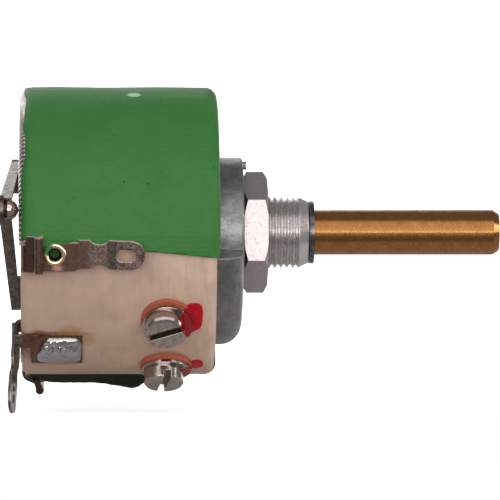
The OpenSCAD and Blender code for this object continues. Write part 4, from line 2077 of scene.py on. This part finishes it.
@dataclass
class Studio:
    """Camera, floor and soft light.

    Attributes:
        distance: camera's distance from the shaft axis, in metres.
        across: width that the photograph shows at the axis, in metres.
        eye: the camera's place along X and Z, in metres.
        yaw: how far the camera looks towards the shaft's end, in degrees.
        room: brightness of the room, added brightness above and added
            brightness behind the object.
        front_edge: where the floor starts in front of the object, in metres.
        floor_run: length of its flat part, in metres.
        floor_width: its width, in metres.
        backdrop: how far it curves back and how high it rises, in metres.
        clearance: gap between the floor and the object, in millimetres.
        paper: the floor's colour between and on its fibres.
        shade: the darker patch of floor under the object.
        shade_depth: how much less the floor glows there.
        glow_from: distance behind the object and height, in millimetres,
            between which reflections show a white backdrop.
        aim: where the lamps point, in metres.
        boxes: the lamps.
    """

    distance: float = 0.6
    across: float = 500 / 7.5 * MM
    eye: tuple[float, float] = (-22.9 * MM, -2.36 * MM)
    yaw: float = 2.29
    room: tuple[float, float, float] = (0.2, 0.06, 0.05)
    front_edge: float = -0.022
    floor_run: float = 0.55
    floor_width: float = 3.0
    backdrop: tuple[float, float] = (0.35, 1.4)
    clearance: float = 0.2
    paper: tuple[Colour, Colour] = ((0.74, 0.74, 0.74), (0.8, 0.8, 0.8))
    shade: tuple[float, float, float] = (55.0, 42.0, 60.0)
    shade_depth: float = 0.35
    glow_from: tuple[float, float] = (120.0, 150.0)
    aim: tuple[float, float, float] = (0.0, 0.0, -0.002)
    boxes: tuple[SoftBox, ...] = (
        SoftBox("key", (-0.03, -0.58, 0.4), (1.5, 0.62), 3.2),
        SoftBox("front", (0.0, -0.75, 0.025), (1.0, 0.13), 2.5),
        SoftBox("side", (0.6, -0.14, 0.14), (0.12, 0.3), 0.9),
        SoftBox("back", (-0.3, 0.6, 0.3), (0.8, 0.5), 2.0),
    )

    def build(self) -> None:
        """Builds camera, floor, backdrop, lamps and world."""
        self.camera()
        self.sweep()
        self.lamps()
        self.world()
        bpy.context.scene.view_settings.view_transform = "Standard"

    def camera(self) -> None:
        """Looks along +Y from the photographed side."""
        data = bpy.data.cameras.new("camera")
        data.sensor_width = 36.0
        data.lens = data.sensor_width * self.distance / self.across
        data.clip_start, data.clip_end = 0.01, 20.0
        made = bpy.data.objects.new("camera", data)
        made.location = (self.eye[0], -self.distance, self.eye[1])
        made.rotation_euler = (math.radians(90), 0, -math.radians(self.yaw))
        bpy.context.collection.objects.link(made)
        bpy.context.scene.camera = made

    def sweep(self) -> None:
        """Lays a pale floor under the object that curves up into a white backdrop."""
        floor_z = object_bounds()[0][2] - self.clearance * MM
        back, up = self.backdrop
        bm = bmesh.new()
        bmesh.ops.create_grid(bm, x_segments=1, y_segments=24, size=1.0)
        for vert in bm.verts:
            run = vert.co.y + 1.0
            bend = max(run - 1.0, 0.0) * math.pi / 2
            x = vert.co.x * self.floor_width / 2
            y = self.front_edge + min(run, 1.0) * self.floor_run + back * math.sin(bend)
            vert.co = Vector((x, y, floor_z + up * (1.0 - math.cos(bend))))
        bmesh.ops.recalc_face_normals(bm, faces=bm.faces)
        data = bpy.data.meshes.new("floor")
        bm.to_mesh(data)
        bm.free()
        data.materials.append(self.paper_material(floor_z))
        made = bpy.data.objects.new("floor", data)
        bpy.context.collection.objects.link(made)
        made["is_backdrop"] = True

    def paper_material(self, floor_z: float) -> bpy.types.Material:
        """Makes pale paper that looks white to the camera, but keeps the object's shadow.

        Args:
            floor_z: the floor's height, in metres.

        Returns:
            The material.
        """
        shader = Shader("pale paper")
        fibre = shader.grain(Grain(0.8, 3.0, 0.6))
        shader.set(base_color=shader.mix(fibre, *self.paper), roughness=0.9)
        _, behind, height = shader.axes()
        shade = shader.blob(Spot(Vector((-0.012, 0.0, floor_z)), self.shade, 1.0))
        seen = shader.ray("Camera") * (1.0 - shade * self.shade_depth)
        far, low = self.glow_from
        mirrored = shader.ray("Glossy", "Transmission") * behind.above(far, far)
        glow = seen + mirrored * height.below(low, low)
        lit = shader.node("ShaderNodeEmission", inputs={"Color": WHITE, "Strength": glow})
        parts = {0: shader.surface.outputs[0], 1: lit.outputs[0]}
        both = shader.node("ShaderNodeAddShader", inputs=parts)
        shader.feed(shader.output.inputs[0], both.outputs[0])
        return shader.material

    def lamps(self) -> None:
        """Hangs the soft boxes."""
        for box in self.boxes:
            data = bpy.data.lights.new(box.name, "AREA")
            data.shape, data.energy = "RECTANGLE", box.power
            data.size, data.size_y = box.size
            made = bpy.data.objects.new(box.name, data)
            made.location = box.place
            way = Vector(self.aim) - Vector(box.place)
            made.rotation_euler = way.to_track_quat("-Z", "Y").to_euler()
            bpy.context.collection.objects.link(made)

    def world(self) -> None:
        """Shows white to the camera and a dimmer room to the object."""
        world = bpy.data.worlds.new("studio")
        bpy.context.scene.world = world
        world.use_nodes = True
        graph = Graph(world.node_tree)
        generated = graph.coordinates.outputs["Generated"]
        way = graph.node("ShaderNodeSeparateXYZ", inputs={0: generated})
        _, behind, above = (Sock(graph, out) for out in way.outputs)
        plain, upper, rear = self.room
        bright = above.above(0.4, 0.9) * upper + behind.above(0.3, 0.9) * rear + plain
        seen = graph.ray("Camera")
        inputs = {
            "Color": graph.mix(seen, (0.95, 0.97, 1.0), WHITE),
            "Strength": bright * (1.0 - seen) + seen,
        }
        room = graph.node("ShaderNodeBackground", inputs=inputs)
        graph.node("ShaderNodeOutputWorld", inputs={0: room.outputs[0]})


def main() -> None:
    """Builds the dressed potentiometer and its studio in order."""
    logging.basicConfig(level=logging.INFO, format="%(message)s")
    noise.seed_set(SEED)
    for part in (Ring(), Hardware(), Rotor(), LockingLacquer(), Studio()):
        part.build()
        LOG.info("%s done", type(part).__name__)


if __name__ == "__main__":
    main()
